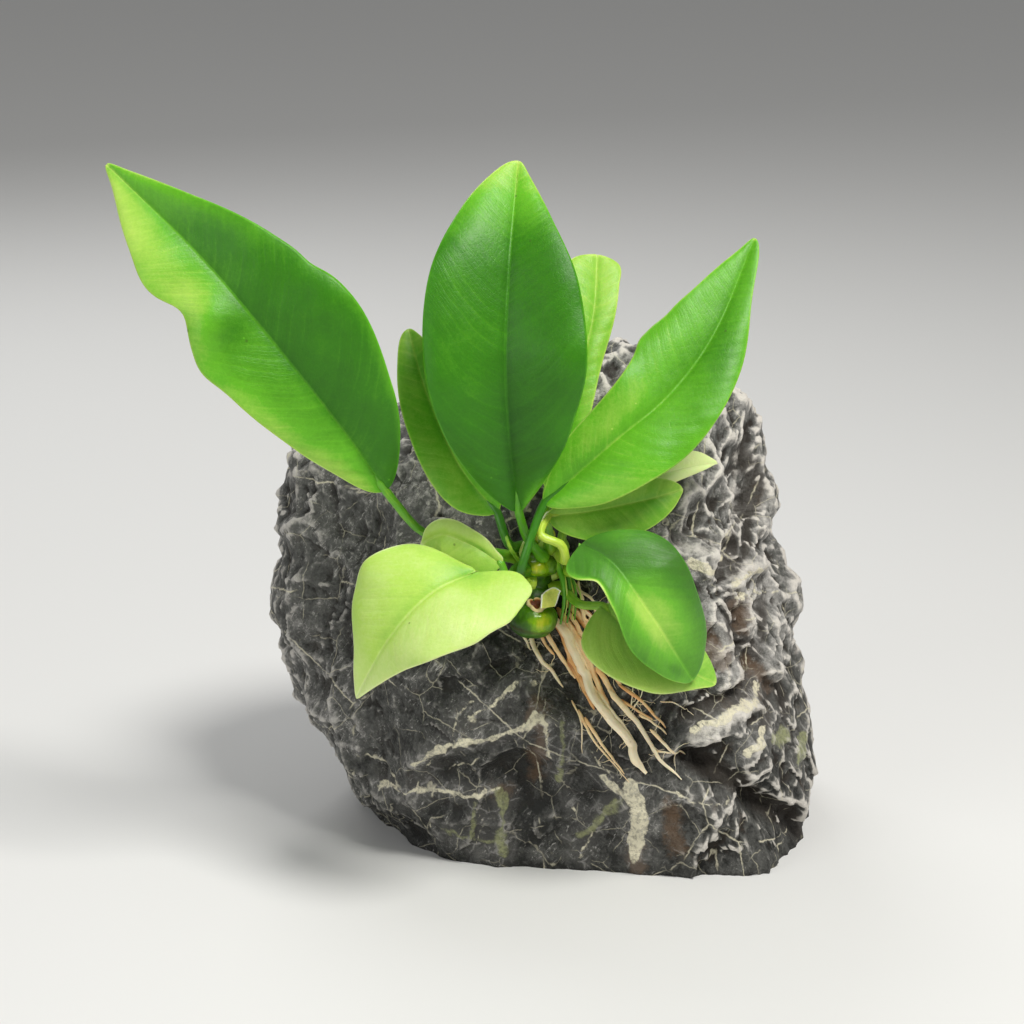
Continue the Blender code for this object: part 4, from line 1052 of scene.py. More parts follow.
def stone_finish(settings):
    finish = Finish("grey_stone")
    place = finish.place()
    cream, green, rust = finish.split("veins")
    tone, fine, broad = finish.split("form")
    pit, ridge, craggy = finish.split("ground")
    clouds = finish.noise(place, 13, 4, 0.6) - 0.5
    mottle = finish.noise(place, 3.2, 5, 0.65) - 0.5
    grain = finish.noise(place, 0.7, 3, 0.6) - 0.5
    ragged = mottle * 4.5 + (finish.noise(place, 0.9, 3, 0.7) - 0.5) * 2.6
    # smears and scratches: upright on the craggy ground, slanting on the smooth front
    bent = finish.warped(place, 8, 5.0)
    jagged = finish.warped(place, 2.2, 1.1)
    upright = finish.step(drawn_out(finish, bent, (0.0, 0.12, 0.0), 0.9), 0.58, 0.74)
    slanting = finish.step(drawn_out(finish, jagged, (0.0, 0.7, 0.0), 0.8), 0.56, 0.70)
    falling = finish.step(drawn_out(finish, jagged, (0.0, -0.5, 0.0), 0.7), 0.58, 0.72)
    brushed = drawn_out(finish, bent, (0.0, 0.3, 0.0), 2.2) - 0.5
    patchy = finish.step(clouds + mottle * 0.5, -0.12, 0.08)
    smears = (upright * (0.35 + 0.3 * craggy)).most(slanting.most(falling * 0.7) * (1 - craggy)) * patchy
    flecks = finish.step(finish.noise(place, 0.55, 3, 0.7), 0.56, 0.70) * finish.step(mottle, -0.04, 0.10)
    # the relief terms (fine, broad) are painted light and shade: what stands out is lighter, what lies in is
    # darker
    shade = (tone + clouds * 0.60 + mottle * 0.68 + brushed * 0.80 + grain * 0.60 + smears * 0.95
             + flecks * 0.45 + (fine * 0.80 + broad * 0.10) * (0.6 + 0.4 * craggy)).clamped()
    colour = finish.ramp(shade, (0.0, settings.dark), (0.45, settings.grey), (1.0, settings.light))
    # painted shade: hollows, pits and named grooves darkened towards a soil brown; then pale worn edges
    hollow = finish.step(broad + fine + mottle * 0.6, -0.12, -0.85) * (0.25 + 0.50 * craggy)
    hollow = hollow.most(finish.step(pit + mottle * 0.6, 0.30, 0.80) * (0.15 + 0.65 * craggy))
    colour = finish.mix(hollow, colour, settings.hollow_shade)
    # the pale edges are partly wear and partly a painted highlight on the ridges and named ridges that stand
    # out
    worn_and_lit = finish.step(fine + mottle * 0.30, 0.12, 0.36) * (0.14 + 0.60 * craggy)
    worn_and_lit = worn_and_lit.most(finish.step(ridge + mottle * 1.2, 0.62, 1.0) * craggy * 0.75)
    colour = finish.mix(worn_and_lit, colour, settings.edge)
    # rust, where it is placed and in scattered patches
    scattered = finish.step(finish.noise(place, 9, 4, 0.65), 0.60, 0.76) * (0.15 + 0.4 * craggy)
    stain = finish.step(rust + ragged * 1.6, 1.6, -1.6) * 0.42
    colour = finish.mix(stain.most(scattered * 0.45), colour, settings.rust)
    # hair-thin pale lines, broken in places
    broken = finish.noise(place, 7, 3, 0.6)
    wide_web = finish.step(finish.cracks(jagged, 31) + grain * 0.4, 0.30, 0.04)
    wide_web = wide_web * finish.step(broken, 0.44, 0.58)
    thin_web = finish.step(finish.cracks(jagged, 11) + grain * 0.3, 0.18, 0.02)
    thin_web = thin_web * finish.step(broken, 0.56, 0.44)
    web = (wide_web * 0.7).most(thin_web * 0.38)
    colour = finish.mix(web, colour, settings.cream)
    # the named veins, with ragged borders, and a net of fine cracks beside them
    inside = finish.step(finish.noise(place, 1.1, 4, 0.7), 0.36, 0.56) * 0.55 + 0.45
    beside = finish.step(cream.least(green) + ragged, 4.2, 0.0)
    net = finish.step(finish.cracks(jagged, 4.6) + grain * 0.7, 0.34, 0.02) * finish.step(mottle, -0.08, 0.06)
    colour = finish.mix(beside * (0.10 + net * 0.45), colour, settings.light)
    green_vein = finish.step(green + ragged * 0.40, 0.3, -0.5) * inside
    colour = finish.mix(green_vein * 0.7, colour, settings.green)
    cream_vein = finish.step(cream + ragged * 0.36, 0.10, -0.35) * inside
    colour = finish.mix(cream_vein, colour, settings.cream)
    vein = green_vein.most(cream_vein)
    roughness = 0.56 + mottle * 0.25 - vein * 0.12 + hollow * 0.2
    relief = (grain * 0.42 + mottle * 0.85 + (finish.noise(place, 0.25, 2, 0.5) - 0.5) * 0.10
              + vein * 0.10 + smears * 0.14 + flecks * 0.08 + brushed * 0.25 - web * 0.08)
    return finish.close(colour, roughness, relief, 0.4)


# ---- leaves --------------------------------------------------------------------------------
def midrib_frame(leaf, t):
    """Points on the midrib at each t, with the directions along, across and up from the blade."""
    points = smooth_through(leaf["midrib"], t)
    ahead = smooth_through(leaf["midrib"], np.minimum(t + MIDRIB_STEP, 1))
    behind = smooth_through(leaf["midrib"], np.maximum(t - MIDRIB_STEP, 0))
    along = unit(ahead - behind)
    across = unit(np.cross(along, leaf["faces"]))
    return points, along, across, np.cross(across, along)


def half_widths(leaf, row, side):
    ear_width, _ = leaf.get("ear", ((0, 0), (0, 0)))[side]
    halves = (ear_width, *leaf[("left", "right")[side]], 0.0)
    return np.maximum(smooth_through(halves, row), BLADE_MIN_HALF)


def blade_arrays(leaf, look, settings):
    """Middle surface of a blade as a grid of points, with the numbers its finish reads."""
    row = np.linspace(0, 1, settings.rows + 1)
    column = np.linspace(-1, 1, settings.columns + 1)
    t = (1 - np.cos(np.pi * row)) / 2
    points, along, across, up = midrib_frame(leaf, t)
    length = np.concatenate([[0], np.cumsum(np.linalg.norm(np.diff(points, axis=0), axis=1))])
    out = np.abs(column)[None, :]
    is_right = (column > 0)[None, :]

    def by_side(left, right):
        return np.where(is_right, np.asarray(right)[..., None], np.asarray(left)[..., None])

    def dabs(places):
        """Sum of soft dabs: (t, across from -1 to 1, reach along, reach across, amount)."""
        return sum((amount * np.exp(-((t[:, None] - along_t) / reach_t) ** 2
                                    - ((column[None, :] - across_t) / reach_across) ** 2)
                    for along_t, across_t, reach_t, reach_across, amount in places), 0 * t[:, None])

    half = by_side(half_widths(leaf, row, 0), half_widths(leaf, row, 1))
    for side, middle, reach, added in look.get("edges", ()):
        half = half + added * (is_right == side) * np.exp(-((t[:, None] - middle) / reach) ** 2)
    fold = np.radians(by_side(*leaf["fold"]))
    (_, reach_left), (_, reach_right) = leaf.get("ear", ((0, 0), (0, 0)))
    near_base = np.maximum(0, 1 - row / EAR_ROWS)[:, None] ** EAR_FADE
    ear = 1 - (2 * out ** EAR_SKEW - 1) ** EAR_SQUARENESS
    back = by_side(reach_left, reach_right) * ear * near_base
    distance = out * half
    run = length[:, None] - back
    flat = (points[:, None, :] + across[:, None, :] * (column * half * np.cos(fold))[..., None]
            - along[:, None, :] * back[..., None])

    def unevenness(size):
        return noise_at(flat.reshape(-1, 3), size).reshape(half.shape)

    phase = run - VEIN_LEAN * distance - VEIN_CURVE * distance ** 2
    phase = phase + sum(amount * unevenness(size) for size, amount in VEIN_BENDS)
    swell = np.sin(np.pi * t)[:, None] ** 0.5
    (left_height, left_waves), (right_height, right_waves) = look["ripple"]
    waves = np.sin(2 * np.pi * (by_side(left_waves, right_waves) * t[:, None] + by_side(*RIPPLE_STARTS)))
    rise = distance * np.sin(fold) + half * BULGE * 4 * out * (1 - out)
    rise -= half * MARGIN_ROLL * out ** 6
    rise += by_side(left_height, right_height) * waves * out ** 3 * swell
    spacing = settings.vein_spacing / MM
    quilt = settings.quilting / MM * np.cos(2 * np.pi * phase / spacing)
    calm = 1 - PALE_CALM * eased(look["sides"][0], *PALE_CALM_TONES)
    everywhere, patchy = QUILT_SHARES
    rise += quilt * 4 * out * (1 - out) * swell * calm * (everywhere + patchy * unevenness(QUILT_PATCH_SIZE))
    rise += dabs(look.get("forms", ()))
    depth, width = MIDRIB_GROOVE
    rise -= depth * np.exp(-(distance / width) ** 2) * (1 - MIDRIB_GROOVE_TAPER * t[:, None])
    crease = sum(height * unevenness(size) for size, height in CREASES) * swell
    grid = flat + up[:, None, :] * (rise + crease)[..., None]
    left_tone, right_tone = look["sides"]
    tone = left_tone + (right_tone - left_tone) * eased(column * half, -SIDE_BLEND, SIDE_BLEND)
    tone = tone + look["tip"] * eased(t, *TIP_BLEND)[:, None] + dabs(look["patches"])
    margin = np.minimum(half - distance, (length[-1] - run) / 2)
    return dict(grid=grid, t=np.broadcast_to(t[:, None], half.shape), across=column * half,
                out=out + 0 * half, run=run, phase=phase, tone=tone, margin=margin)


def grid_normals(grid):
    return unit(np.cross(np.gradient(grid, axis=1), np.gradient(grid, axis=0)) + 1e-12)


def shell_mesh(name, upper, lower):
    """Closed thin shell between two grids of points of one shape, and the number of points of each."""
    rows, columns = upper.shape[:2]
    count = rows * columns
    index = np.arange(count).reshape(rows, columns)
    faces = np.stack([index[:-1, :-1], index[:-1, 1:], index[1:, 1:], index[1:, :-1]], axis=-1)
    faces = faces.reshape(-1, 4)
    border = np.concatenate([index[0, :-1], index[:-1, -1], index[-1, :0:-1], index[:0:-1, 0]])
    ahead = np.roll(border, -1)
    rim = np.stack([ahead, border, border + count, ahead + count], axis=-1)
    everything = np.concatenate([faces, faces[:, ::-1] + count, rim])
    mesh = bpy.data.meshes.new(name)
    points = np.concatenate([upper.reshape(-1, 3), lower.reshape(-1, 3)])
    mesh.from_pydata((points * MM).tolist(), [], everything.tolist())
    mesh.update()
    return mesh, count


def blade_mesh(name, leaf, look, settings):
    blade = blade_arrays(leaf, look, settings)
    normals = grid_normals(blade["grid"])
    thickness = settings.thickness / MM * (1 - EDGE_THINNING * blade["out"] ** 4)
    height, width = MIDRIB_RIDGE
    ridge = height * np.exp(-(blade["across"] / width) ** 2) * (1 - MIDRIB_RIDGE_TAPER * blade["t"])
    spacing = settings.vein_spacing / MM
    height, width = VEIN_RIBS
    ribs = height * np.exp(-((np.abs((blade["phase"] / spacing) % 1 - 0.5) * spacing) / width) ** 2)
    ribs = ribs * (1 - blade["out"] ** 2)
    upper = blade["grid"] + normals * (thickness / 2)[..., None]
    lower = blade["grid"] - normals * (thickness / 2 + ridge + ribs)[..., None]
    mesh, count = shell_mesh(name, upper, lower)
    for kept, keys in (("blade", ("across", "run", "out")), ("veins", ("phase", "tone", "margin"))):
        store(mesh, kept, np.stack([np.tile(blade[key].ravel(), 2) for key in keys], axis=1))
    # on the upper side this is a painted pale sheen, on the underside its own pale matt colour
    store(mesh, "under", np.repeat([look.get("painted_sheen", 0.0), 1.0], count))
    return mesh


def leaf_finish(name, settings):
    finish = Finish(name)
    place = finish.place()
    across, run, out = finish.split("blade")
    phase, tone, margin = finish.split("veins")
    under = finish.number("under")
    spacing = settings.vein_spacing / MM
    clouds = finish.noise(place, 9, 3, 0.55) - 0.5
    grain = finish.noise(place, 0.9, 3, 0.6) - 0.5
    streaky = finish.vector(phase, abs(across) * 0.10, 0.0)
    streaks = finish.noise(streaky, 2.4, 3, 0.6) - 0.5
    bends = phase + clouds * 1.2
    fading = finish.step(finish.noise(place, 12, 2, 0.5), 0.36, 0.58)
    side_vein = finish.step(bends.line(spacing) * spacing, 0.42, 0.06) * finish.step(out, 1.0, 0.82)
    side_vein = side_vein * fading
    hair_vein = finish.step(bends.line(spacing / 4) * (spacing / 4), 0.16, 0.02) * fading
    net = finish.step(finish.cracks(place, 1.1), 0.12, 0.02)
    midrib = finish.step(abs(across), 0.62, 0.20)
    beside = finish.step(abs(across), 2.4, 0.6)
    border = finish.step(margin, 0.55, 0.10)
    pale_specks = finish.step(finish.spots(place, 6.0), 0.34, 0.22) * finish.step(clouds, 0.02, 0.10)
    dark_specks = finish.step(finish.spots(finish.scaled(place, (1.0, 1.3, 0.9)), 9.0), 0.42, 0.26)
    strength = 1 - finish.step(tone, 0.55, 0.85) * 0.65
    lines = (streaks * 0.11 + side_vein * 0.035 + hair_vein * 0.012) * strength
    shade = (tone + clouds * 0.19 + grain * 0.10 + lines + net * 0.014 + midrib * 0.08 - beside * 0.03
             + border * 0.14 + under * 0.10 + pale_specks * 0.12)
    colour = finish.ramp(shade.clamped(), (0.0, settings.deep), (0.25, settings.green),
                         (0.5, settings.fresh), (0.75, settings.lime), (1.0, settings.pale))
    colour = finish.mix(dark_specks * 0.5, colour, screen_colour(58, 84, 24))
    # under: the underside's own pale matt colour, and a painted pale sheen on the upper side of some leaves
    colour = finish.mix(under * 0.22, colour, screen_colour(190, 214, 140))
    roughness = 0.42 + grain * 0.14 + under * 0.12 - side_vein * 0.03
    relief = grain * 0.06 + clouds * 0.10 - hair_vein * 0.018 - side_vein * 0.03 - net * 0.012
    return finish.close(colour, roughness, relief, 0.28, 0.25, (0.6, 1.2, 0.2))


# ---- strands: stalks and roots -----------------------------------------------------------------
def strand_tree():
    """Geometry nodes that clothe polylines as uneven round strands, with the inputs' identifiers."""
    tree = bpy.data.node_groups.new("strand", "GeometryNodeTree")
    inputs = {}
    for name, kind in STRAND_INPUTS.items():
        socket = tree.interface.new_socket(name, in_out="INPUT", socket_type="NodeSocket" + kind)
        inputs[name] = socket.identifier
    tree.interface.new_socket("Geometry", in_out="OUTPUT", socket_type="NodeSocketGeometry")

    def node(kind, sockets, **settings):
        return add_node(tree, kind, settings, sockets)

    def kept(line, name, value):
        return node("GeometryNodeStoreNamedAttribute", {"Geometry": line, "Name": name, "Value": value},
                    data_type="FLOAT", domain="POINT")

    given = node("NodeGroupInput", {}).outputs
    lines = node("GeometryNodeMeshToCurve", {"Mesh": given["Geometry"]})
    even = node("GeometryNodeResampleCurve", {"Curve": lines, "Length": given["Spacing"]}, mode="LENGTH")
    spline = node("GeometryNodeSplineParameter", {}).outputs
    measured = kept(kept(even, "run", spline["Length"]), "share", spline["Factor"])
    ring = node("GeometryNodeCurvePrimitiveCircle", {"Resolution": given["Sides"], "Radius": 1.0})
    turn = node("GeometryNodeSplineParameter", {}).outputs
    ring = kept(ring, "around", turn["Factor"])
    radius = node("GeometryNodeInputNamedAttribute", {"Name": "strand_radius"}, data_type="FLOAT")
    tube = node("GeometryNodeCurveToMesh", {
        "Curve": measured, "Profile Curve": ring, "Scale": radius, "Fill Caps": True})
    where = node("GeometryNodeInputPosition", {})
    scale = node("ShaderNodeMath", {0: 1.0, 1: given["Unevenness Size"]}, operation="DIVIDE")
    wander = node("ShaderNodeTexNoise", {"Vector": where, "Scale": scale, "Detail": 2.0}).outputs["Color"]
    centred = node("ShaderNodeVectorMath", {0: wander, 1: (0.5, 0.5, 0.5)}, operation="SUBTRACT")
    push = node("ShaderNodeVectorMath", {0: centred, "Scale": given["Unevenness"]}, operation="SCALE")
    moved = node("GeometryNodeSetPosition", {"Geometry": tube, "Offset": push})
    real = node("GeometryNodeRealizeInstances", {"Geometry": moved})
    dressed = node("GeometryNodeSetMaterial", {"Geometry": real, "Material": given["Material"]})
    node("NodeGroupOutput", {"Geometry": dressed})
    return tree, inputs


def strand_mesh(name, strands, settings, unevenness, unevenness_size, finish):
    """Mesh of strands, each with its points and radii in mm and a tint from 0 to 1."""
    tree, inputs = strand_tree()
    points, edges, radii, tints = [], [], [], []
    for path, path_radii, tint in strands:
        start = len(points)
        points.extend(np.asarray(path) * MM)
        edges.extend((k, k + 1) for k in range(start, start + len(path) - 1))
        radii.extend(np.asarray(path_radii) * MM)
        tints.extend([tint] * len(path) if np.isscalar(tint) else tint)
    mesh = bpy.data.meshes.new(name + "_paths")
    mesh.from_pydata([tuple(point) for point in points], edges, [])
    store(mesh, "strand_radius", radii)
    store(mesh, "tint", tints)
    carrier = new_object(name + "_paths", mesh)
    modifier = carrier.modifiers.new("strand", "NODES")
    modifier.node_group = tree
    given = {"Sides": settings.sides, "Spacing": settings.spacing, "Unevenness": unevenness,
             "Unevenness Size": unevenness_size * MM, "Material": finish}
    for key, value in given.items():
        modifier[inputs[key]] = value
    result = plain_mesh(carrier, name)
    bpy.data.node_groups.remove(tree)
    return result


def stem_axis():
    """The stem's points, close to the solid stone, with their radii."""
    skin = mesh_skin(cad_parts["stone"].data)
    points = []
    for x, z, radius in STEM_PATH:
        reach = radius * STEM_PROBE_REACH
        surface_y = min(on_front(skin, x + dx, z + dz)[0][1] for dx in (-reach, 0, reach)
                        for dz in STEM_PROBE_HEIGHTS)
        points.append((x, surface_y - radius - GAP, z))
    depths = np.array([point[1] for point in points])
    even = np.convolve(np.pad(depths, 1, mode="edge"), STEM_SMOOTHING, mode="valid")
    points = [(x, min(y, y_even), z) for (x, y, z), y_even in zip(points, even)]
    return np.array(points), np.array([radius for _, _, radius in STEM_PATH])


def stem_at(axis, radii, height):
    """Centre and radius of the stem at a height."""
    heights = axis[:, 2]
    centre = [np.interp(height, heights, axis[:, k]) for k in range(3)]
    return np.array(centre), float(np.interp(height, heights, radii))


def stalk_path(leaf, foot, under, way, axis, radii):
    """A stalk's points, from inside the stem to under the blade, with its radii as shares."""
    bearing, height = math.radians(foot[0]), foot[1]
    centre, radius = stem_at(axis, radii, height)
    outward = unit((math.sin(bearing), -math.cos(bearing), STALK_RISE))
    ends = np.array((0.0, STALK_IN_BLADE / 2, STALK_IN_BLADE))
    points, _, _, up = midrib_frame(leaf, ends)
    below = points - up * (STALK_BELOW + under * np.array(STALK_NEARING))[:, None]
    if not under:
        below[0] = points[0] - up[0] * STALK_BELOW / 2
    knots = (centre + outward * (radius - STALK_INSIDE), centre + outward * (radius + STALK_CLASP),
             *way, *below)
    steps = np.linspace(0, 1, STALK_POINTS)
    return smooth_through(knots, steps), smooth_through(STALK_PROFILE, steps)


def stalk_finish(leaf):
    finish = Finish("stalk_green")
    place = finish.place()
    around, run, tint = finish.number("around"), finish.number("run"), finish.number("tint")
    share = finish.number("share")
    fibres = finish.noise(finish.vector(around * 9.0, run * 120.0, 0.0), 0.5, 3, 0.6) - 0.5
    clouds = finish.noise(place, 3.5, 3, 0.6) - 0.5
    foot = finish.step(share, 0.22, 0.0)
    shade = tint + fibres * 0.32 + clouds * 0.22 + foot * 0.16
    colour = finish.ramp(shade.clamped(), (0.0, leaf.deep), (0.25, leaf.green), (0.5, leaf.fresh),
                         (0.75, screen_colour(190, 214, 70)), (1.0, leaf.pale))
    return finish.close(colour, 0.34 + clouds * 0.1, fibres * 0.09, 0.5, 0.12, (0.6, 1.0, 0.3))


# ---- creeping stem and old sheath ----------------------------------------------------------------
def stem_mesh(axis, radii):
    """The knobbly creeping stem: its lumps, grown together."""
    mesh = bmesh.new()
    for (x, forward, z), lump_radii in STEM_LUMPS:
        centre, _ = stem_at(axis, radii, z)
        place = Matrix.Translation(Vector((x, centre[1] - forward, z)) * MM)
        size = Matrix.Diagonal((*(np.array(lump_radii) * MM), 1))
        bmesh.ops.create_icosphere(mesh, subdivisions=4, radius=1.0, matrix=place @ size)
    data = bpy.data.meshes.new("stem_lumps")
    mesh.to_mesh(data)
    mesh.free()
    carrier = new_object("stem_lumps", data)
    grown = carrier.modifiers.new("grown_together", "REMESH")
    grown.mode = "VOXEL"
    grown.voxel_size = STEM_VOXEL * MM
    smooth = carrier.modifiers.new("smooth", "SMOOTH")
    smooth.iterations = STEM_SMOOTH_PASSES
    return plain_mesh(carrier, "creeping_stem")


def shape_stem(mesh):
    """Presses the leaf scars into the stem and keeps how pale each place is, painted highlight and shade
    included.
    """
    points, normals = mesh_points(mesh), mesh_normals(mesh)
    size, amount = STEM_RING_WANDER
    tilted = points[:, 2] + STEM_RING_TILT * (points[:, 0] - STEM_MIDDLE_X) + amount * noise_at(points, size)
    depth, half_width = STEM_RING
    rings = sum(np.exp(-((tilted - height) / half_width) ** 2) for height in STEM_RINGS)
    size, amount = STEM_UNEVENNESS
    points = points + normals * (amount * noise_at(points, size) - depth * rings)[:, None]
    set_points(mesh, points)
    paleness = np.full(len(points), STEM_PALENESS)
    for (x, z), reach, added in STEM_PATCHES_AND_LIGHT:
        paleness += added * np.exp(-((points[:, 0] - x) ** 2 + (points[:, 2] - z) ** 2) / reach ** 2)
    store(mesh, "tint", paleness)
    store(mesh, "rings", np.clip(rings, 0, 1))


def stem_finish():
    finish = Finish("stem_green")
    place = finish.place()
    tint, rings = finish.number("tint"), finish.number("rings")
    clouds = finish.noise(place, 2.4, 4, 0.6) - 0.5
    grain = finish.noise(place, 0.5, 3, 0.6) - 0.5
    lines = finish.noise(finish.scaled(place, (1.0, 1.0, 0.15)), 0.6, 2, 0.5) - 0.5
    shade = tint + clouds * 0.34 + grain * 0.08 + lines * 0.26
    colour = finish.ramp(shade.clamped(), (0.0, screen_colour(22, 44, 4)), (0.3, screen_colour(62, 110, 8)),
                         (0.55, screen_colour(130, 176, 16)), (0.8, screen_colour(212, 212, 56)),
                         (1.0, screen_colour(236, 228, 130)))
    colour = finish.mix(rings * 0.55, colour, screen_colour(70, 62, 24))
    specks = finish.step(finish.spots(place, 1.6), 0.22, 0.10)
    colour = finish.mix(specks * 0.5, colour, screen_colour(86, 66, 30))
    roughness = (0.44 - tint * 0.36 + clouds * 0.12 + rings * 0.2).most(0.18)
    relief = grain * 0.05 + lines * 0.05
    return finish.close(colour, roughness, relief, 0.4, 0.1, (0.8, 1.0, 0.3))


def rimmed_shell(name, grid, thickness, rim):
    """Thin shell around a grid of points that keeps where its rim and its inner side are."""
    offset = grid_normals(grid) * (thickness / 2)
    mesh, count = shell_mesh(name, grid + offset, grid - offset)
    store(mesh, "rim", np.tile(rim.ravel(), 2))
    store(mesh, "inner", np.repeat([0.0, 1.0], count))
    return mesh


def sheath_mesh(axis, radii):
    """The torn end of an old sheath: a thin cupped flake whose rim curls outwards."""
    rows, columns = SHEATH_CELLS
    row = np.linspace(0, 1, rows + 1)[:, None]
    column = np.linspace(-1, 1, columns + 1)[None, :]
    bearing = np.radians(SHEATH_BEARING + column * SHEATH_HALF_WRAP * (0.75 + 0.25 * row))
    torn = 0.9 + 0.10 * np.sin(2.4 * column + 1.1) - 0.12 * column ** 2
    z = SHEATH_FOOT_Z + row * SHEATH_HEIGHT * torn
    heights, y, x = axis[:, 2], axis[:, 1], axis[:, 0]
    reach = np.interp(z, heights, radii) + SHEATH_STAND_OFF + SHEATH_FOOT_OUT * (1 - row)
    reach = reach + SHEATH_CURL * eased(np.abs(column), 0.55, 1.0) * (0.3 + 0.7 * row) * 0.6
    reach = reach + SHEATH_CURL * eased(row, 0.72, 1.0) * 0.35 - 1.2 * (1 - row) ** 2
    grid = np.stack([np.interp(z, heights, x) + reach * np.sin(bearing),
                     np.interp(z, heights, y) - reach * np.cos(bearing), z], axis=-1)
    rim = np.maximum(eased(np.abs(column), 0.72, 1.0), eased(row, 0.86, 1.0)) + 0 * z
    return rimmed_shell("old_sheath", grid, SHEATH_THICKNESS, rim)


def cup_mesh(axis, radii):
    """The hollow that the old sheath has left on the stem: a shallow cup with a thick pale lip."""
    centre, radius = stem_at(axis, radii, SHEATH_FOOT_Z)
    rows, columns = CUP_CELLS
    around = np.linspace(0, 2 * np.pi, columns + 1)[None, :]
    turn = np.linspace(0, 1, rows + 1)[:, None]
    reach = np.interp(turn, CUP_TURNS, CUP_REACHES) * (1 + 0.16 * np.sin(3 * around))
    rise = np.interp(turn, CUP_TURNS, CUP_RISES) + 0.3 * turn * np.sin(5 * around)
    x = centre[0] + 0.3 + reach * np.cos(around)
    y = centre[1] - radius * CUP_FORWARD + reach * CUP_FLATNESS * np.sin(around) - 0.35 * rise
    z = SHEATH_FOOT_Z + 0.1 + rise + 0.5 * reach * np.sin(around)
    return rimmed_shell("sheath_cup", np.stack([x, y, z], axis=-1), CUP_THICKNESS,
                        eased(turn, *CUP_LIP) + 0 * around)


def sheath_finish():
    finish = Finish("sheath_straw")
    place = finish.place()
    rim, inner = finish.number("rim"), finish.number("inner")
    fibres = finish.noise(finish.scaled(place, (1.0, 1.0, 0.2)), 0.45, 3, 0.6) - 0.5
    clouds = finish.noise(place, 1.8, 3, 0.6) - 0.5
    shade = (0.35 + clouds * 0.5 + fibres * 0.3 + inner * 0.12).clamped()
    colour = finish.ramp(shade, (0.0, screen_colour(176, 186, 50)), (0.5, screen_colour(240, 242, 126)),
                         (1.0, screen_colour(255, 252, 180)))
    colour = finish.mix(finish.step(rim + fibres * 0.5, 0.35, 0.95), colour, screen_colour(255, 252, 240))
    return finish.close(colour, 0.55 + clouds * 0.1, fibres * 0.06, 0.4, 0.1)


def cup_finish():
    finish = Finish("sheath_cup")
    place = finish.place()
    rim = finish.number("rim")
    clouds = finish.noise(place, 1.0, 4, 0.65) - 0.5
    shade = (rim + clouds * 0.6).clamped()
    colour = finish.ramp(shade, (0.0, screen_colour(104, 46, 20)), (0.45, screen_colour(178, 104, 52)),
                         (0.8, screen_colour(230, 192, 128)), (1.0, screen_colour(240, 218, 162)))
    return finish.close(colour, 0.5 + clouds * 0.1, clouds * 0.12, 0.4)


# ---- roots ---------------------------------------------------------------------------------
def root_strand(skin, path, start_radius, end_radius, lift, tan):
    """Points of a root that lies on the stone, its radii, and how tan it is: most at the top."""
    length = sum(math.dist(a, b) for a, b in zip(path[:-1], path[1:]))
    steps = np.linspace(0, 1, max(ROOT_MIN_POINTS, round(length / ROOT_STEP) + 1))
    radii = start_radius + (end_radius - start_radius) * steps
    points = []
    for (x, z), radius in zip(smooth_through(path, steps), radii):
        surface, normal = on_front(skin, x, z)
        left = lift * (1 - LIFT_LOSS * len(points) / len(steps))
        points.append(surface + normal * (radius * ROOT_ABOVE + left))
    points = np.array(points)
    padded = np.concatenate([points[:1], points, points[-1:]])
    even = (padded[:-2] + 2 * padded[1:-1] + padded[2:]) / 4
    tints = np.clip(tan + ROOT_TOP_TAN * (1 - eased(steps, 0.0, ROOT_TOP_SHARE)), 0, 1)
    return even, radii * np.interp(steps, *ROOT_TAPER), tints


def rootlet_paths(skin, roots):
    """Hair-thin rootlets that leave the roots and lie on the stone."""
    scatter = np.random.default_rng(ROOTLET_SEED)
    paths = []
    for _ in range(ROOTLET_COUNT):
        path, _, _ = roots[scatter.integers(len(roots))]
        place = path[scatter.integers(len(path) // 3, len(path))]
        heading = scatter.uniform(*ROOTLET_HEADING)
        x, z = place[0], place[2]
        length = scatter.uniform(*ROOTLET_LENGTH)
        radius = scatter.uniform(*ROOTLET_RADIUS)
        points = [place]
        for _ in range(ROOTLET_STEPS):
            heading += scatter.normal(0, ROOTLET_BEND)
            x += math.cos(heading) * length / ROOTLET_STEPS
            z += math.sin(heading) * length / ROOTLET_STEPS
            surface, normal = on_front(skin, x, z)
            loose = ROOTLET_LIFT[0] + ROOTLET_LIFT[1] * abs(scatter.normal())
            points.append(surface + normal * (radius + loose))
        radii = np.linspace(radius, radius / 2, ROOTLET_STEPS + 1)
        paths.append((np.array(points), radii, scatter.uniform(0, ROOTLET_TAN)))
    return paths


def root_finish(settings):
    finish = Finish("root_cream")
    place = finish.place()
    around, run, tint = finish.number("around"), finish.number("run"), finish.number("tint")
    fibres = finish.noise(finish.vector(around * 8.0, run * 160.0, 0.0), 0.5, 4, 0.65) - 0.5
    clouds = finish.noise(place, 3.0, 4, 0.6) - 0.5
    grain = finish.noise(place, 0.6, 3, 0.6) - 0.5
    shade = (tint - 0.06 + clouds * 0.6 + fibres * 0.6).clamped()
    colour = finish.ramp(shade, (0.0, screen_colour(255, 240, 206)), (0.35, settings.cream),
                         (0.75, settings.tan), (1.0, settings.red))
    dark = finish.step(finish.noise(place, 1.5, 4, 0.7), 0.62, 0.76)
    colour = finish.mix(dark * 0.3, colour, screen_colour(120, 78, 44))
    return finish.close(colour, 0.52 + clouds * 0.2, fibres * 0.14 + grain * 0.05, 0.4, 0.1)


# ---- operators -----------------------------------------------------------------------------
class ANUBIAS_OT_stone(bpy.types.Operator):
    """Builds the veined grey stone"""
    bl_idname = "anubias.stone"
    bl_label = "Stone"

    def execute(self, context):
        settings = context.scene.anubias_stone
        mesh = stone_mesh(settings)
        store_stone_looks(mesh)
        add_piece("grey_stone", mesh, stone_finish(settings), "grey_stone", "stone")
        return {"FINISHED"}


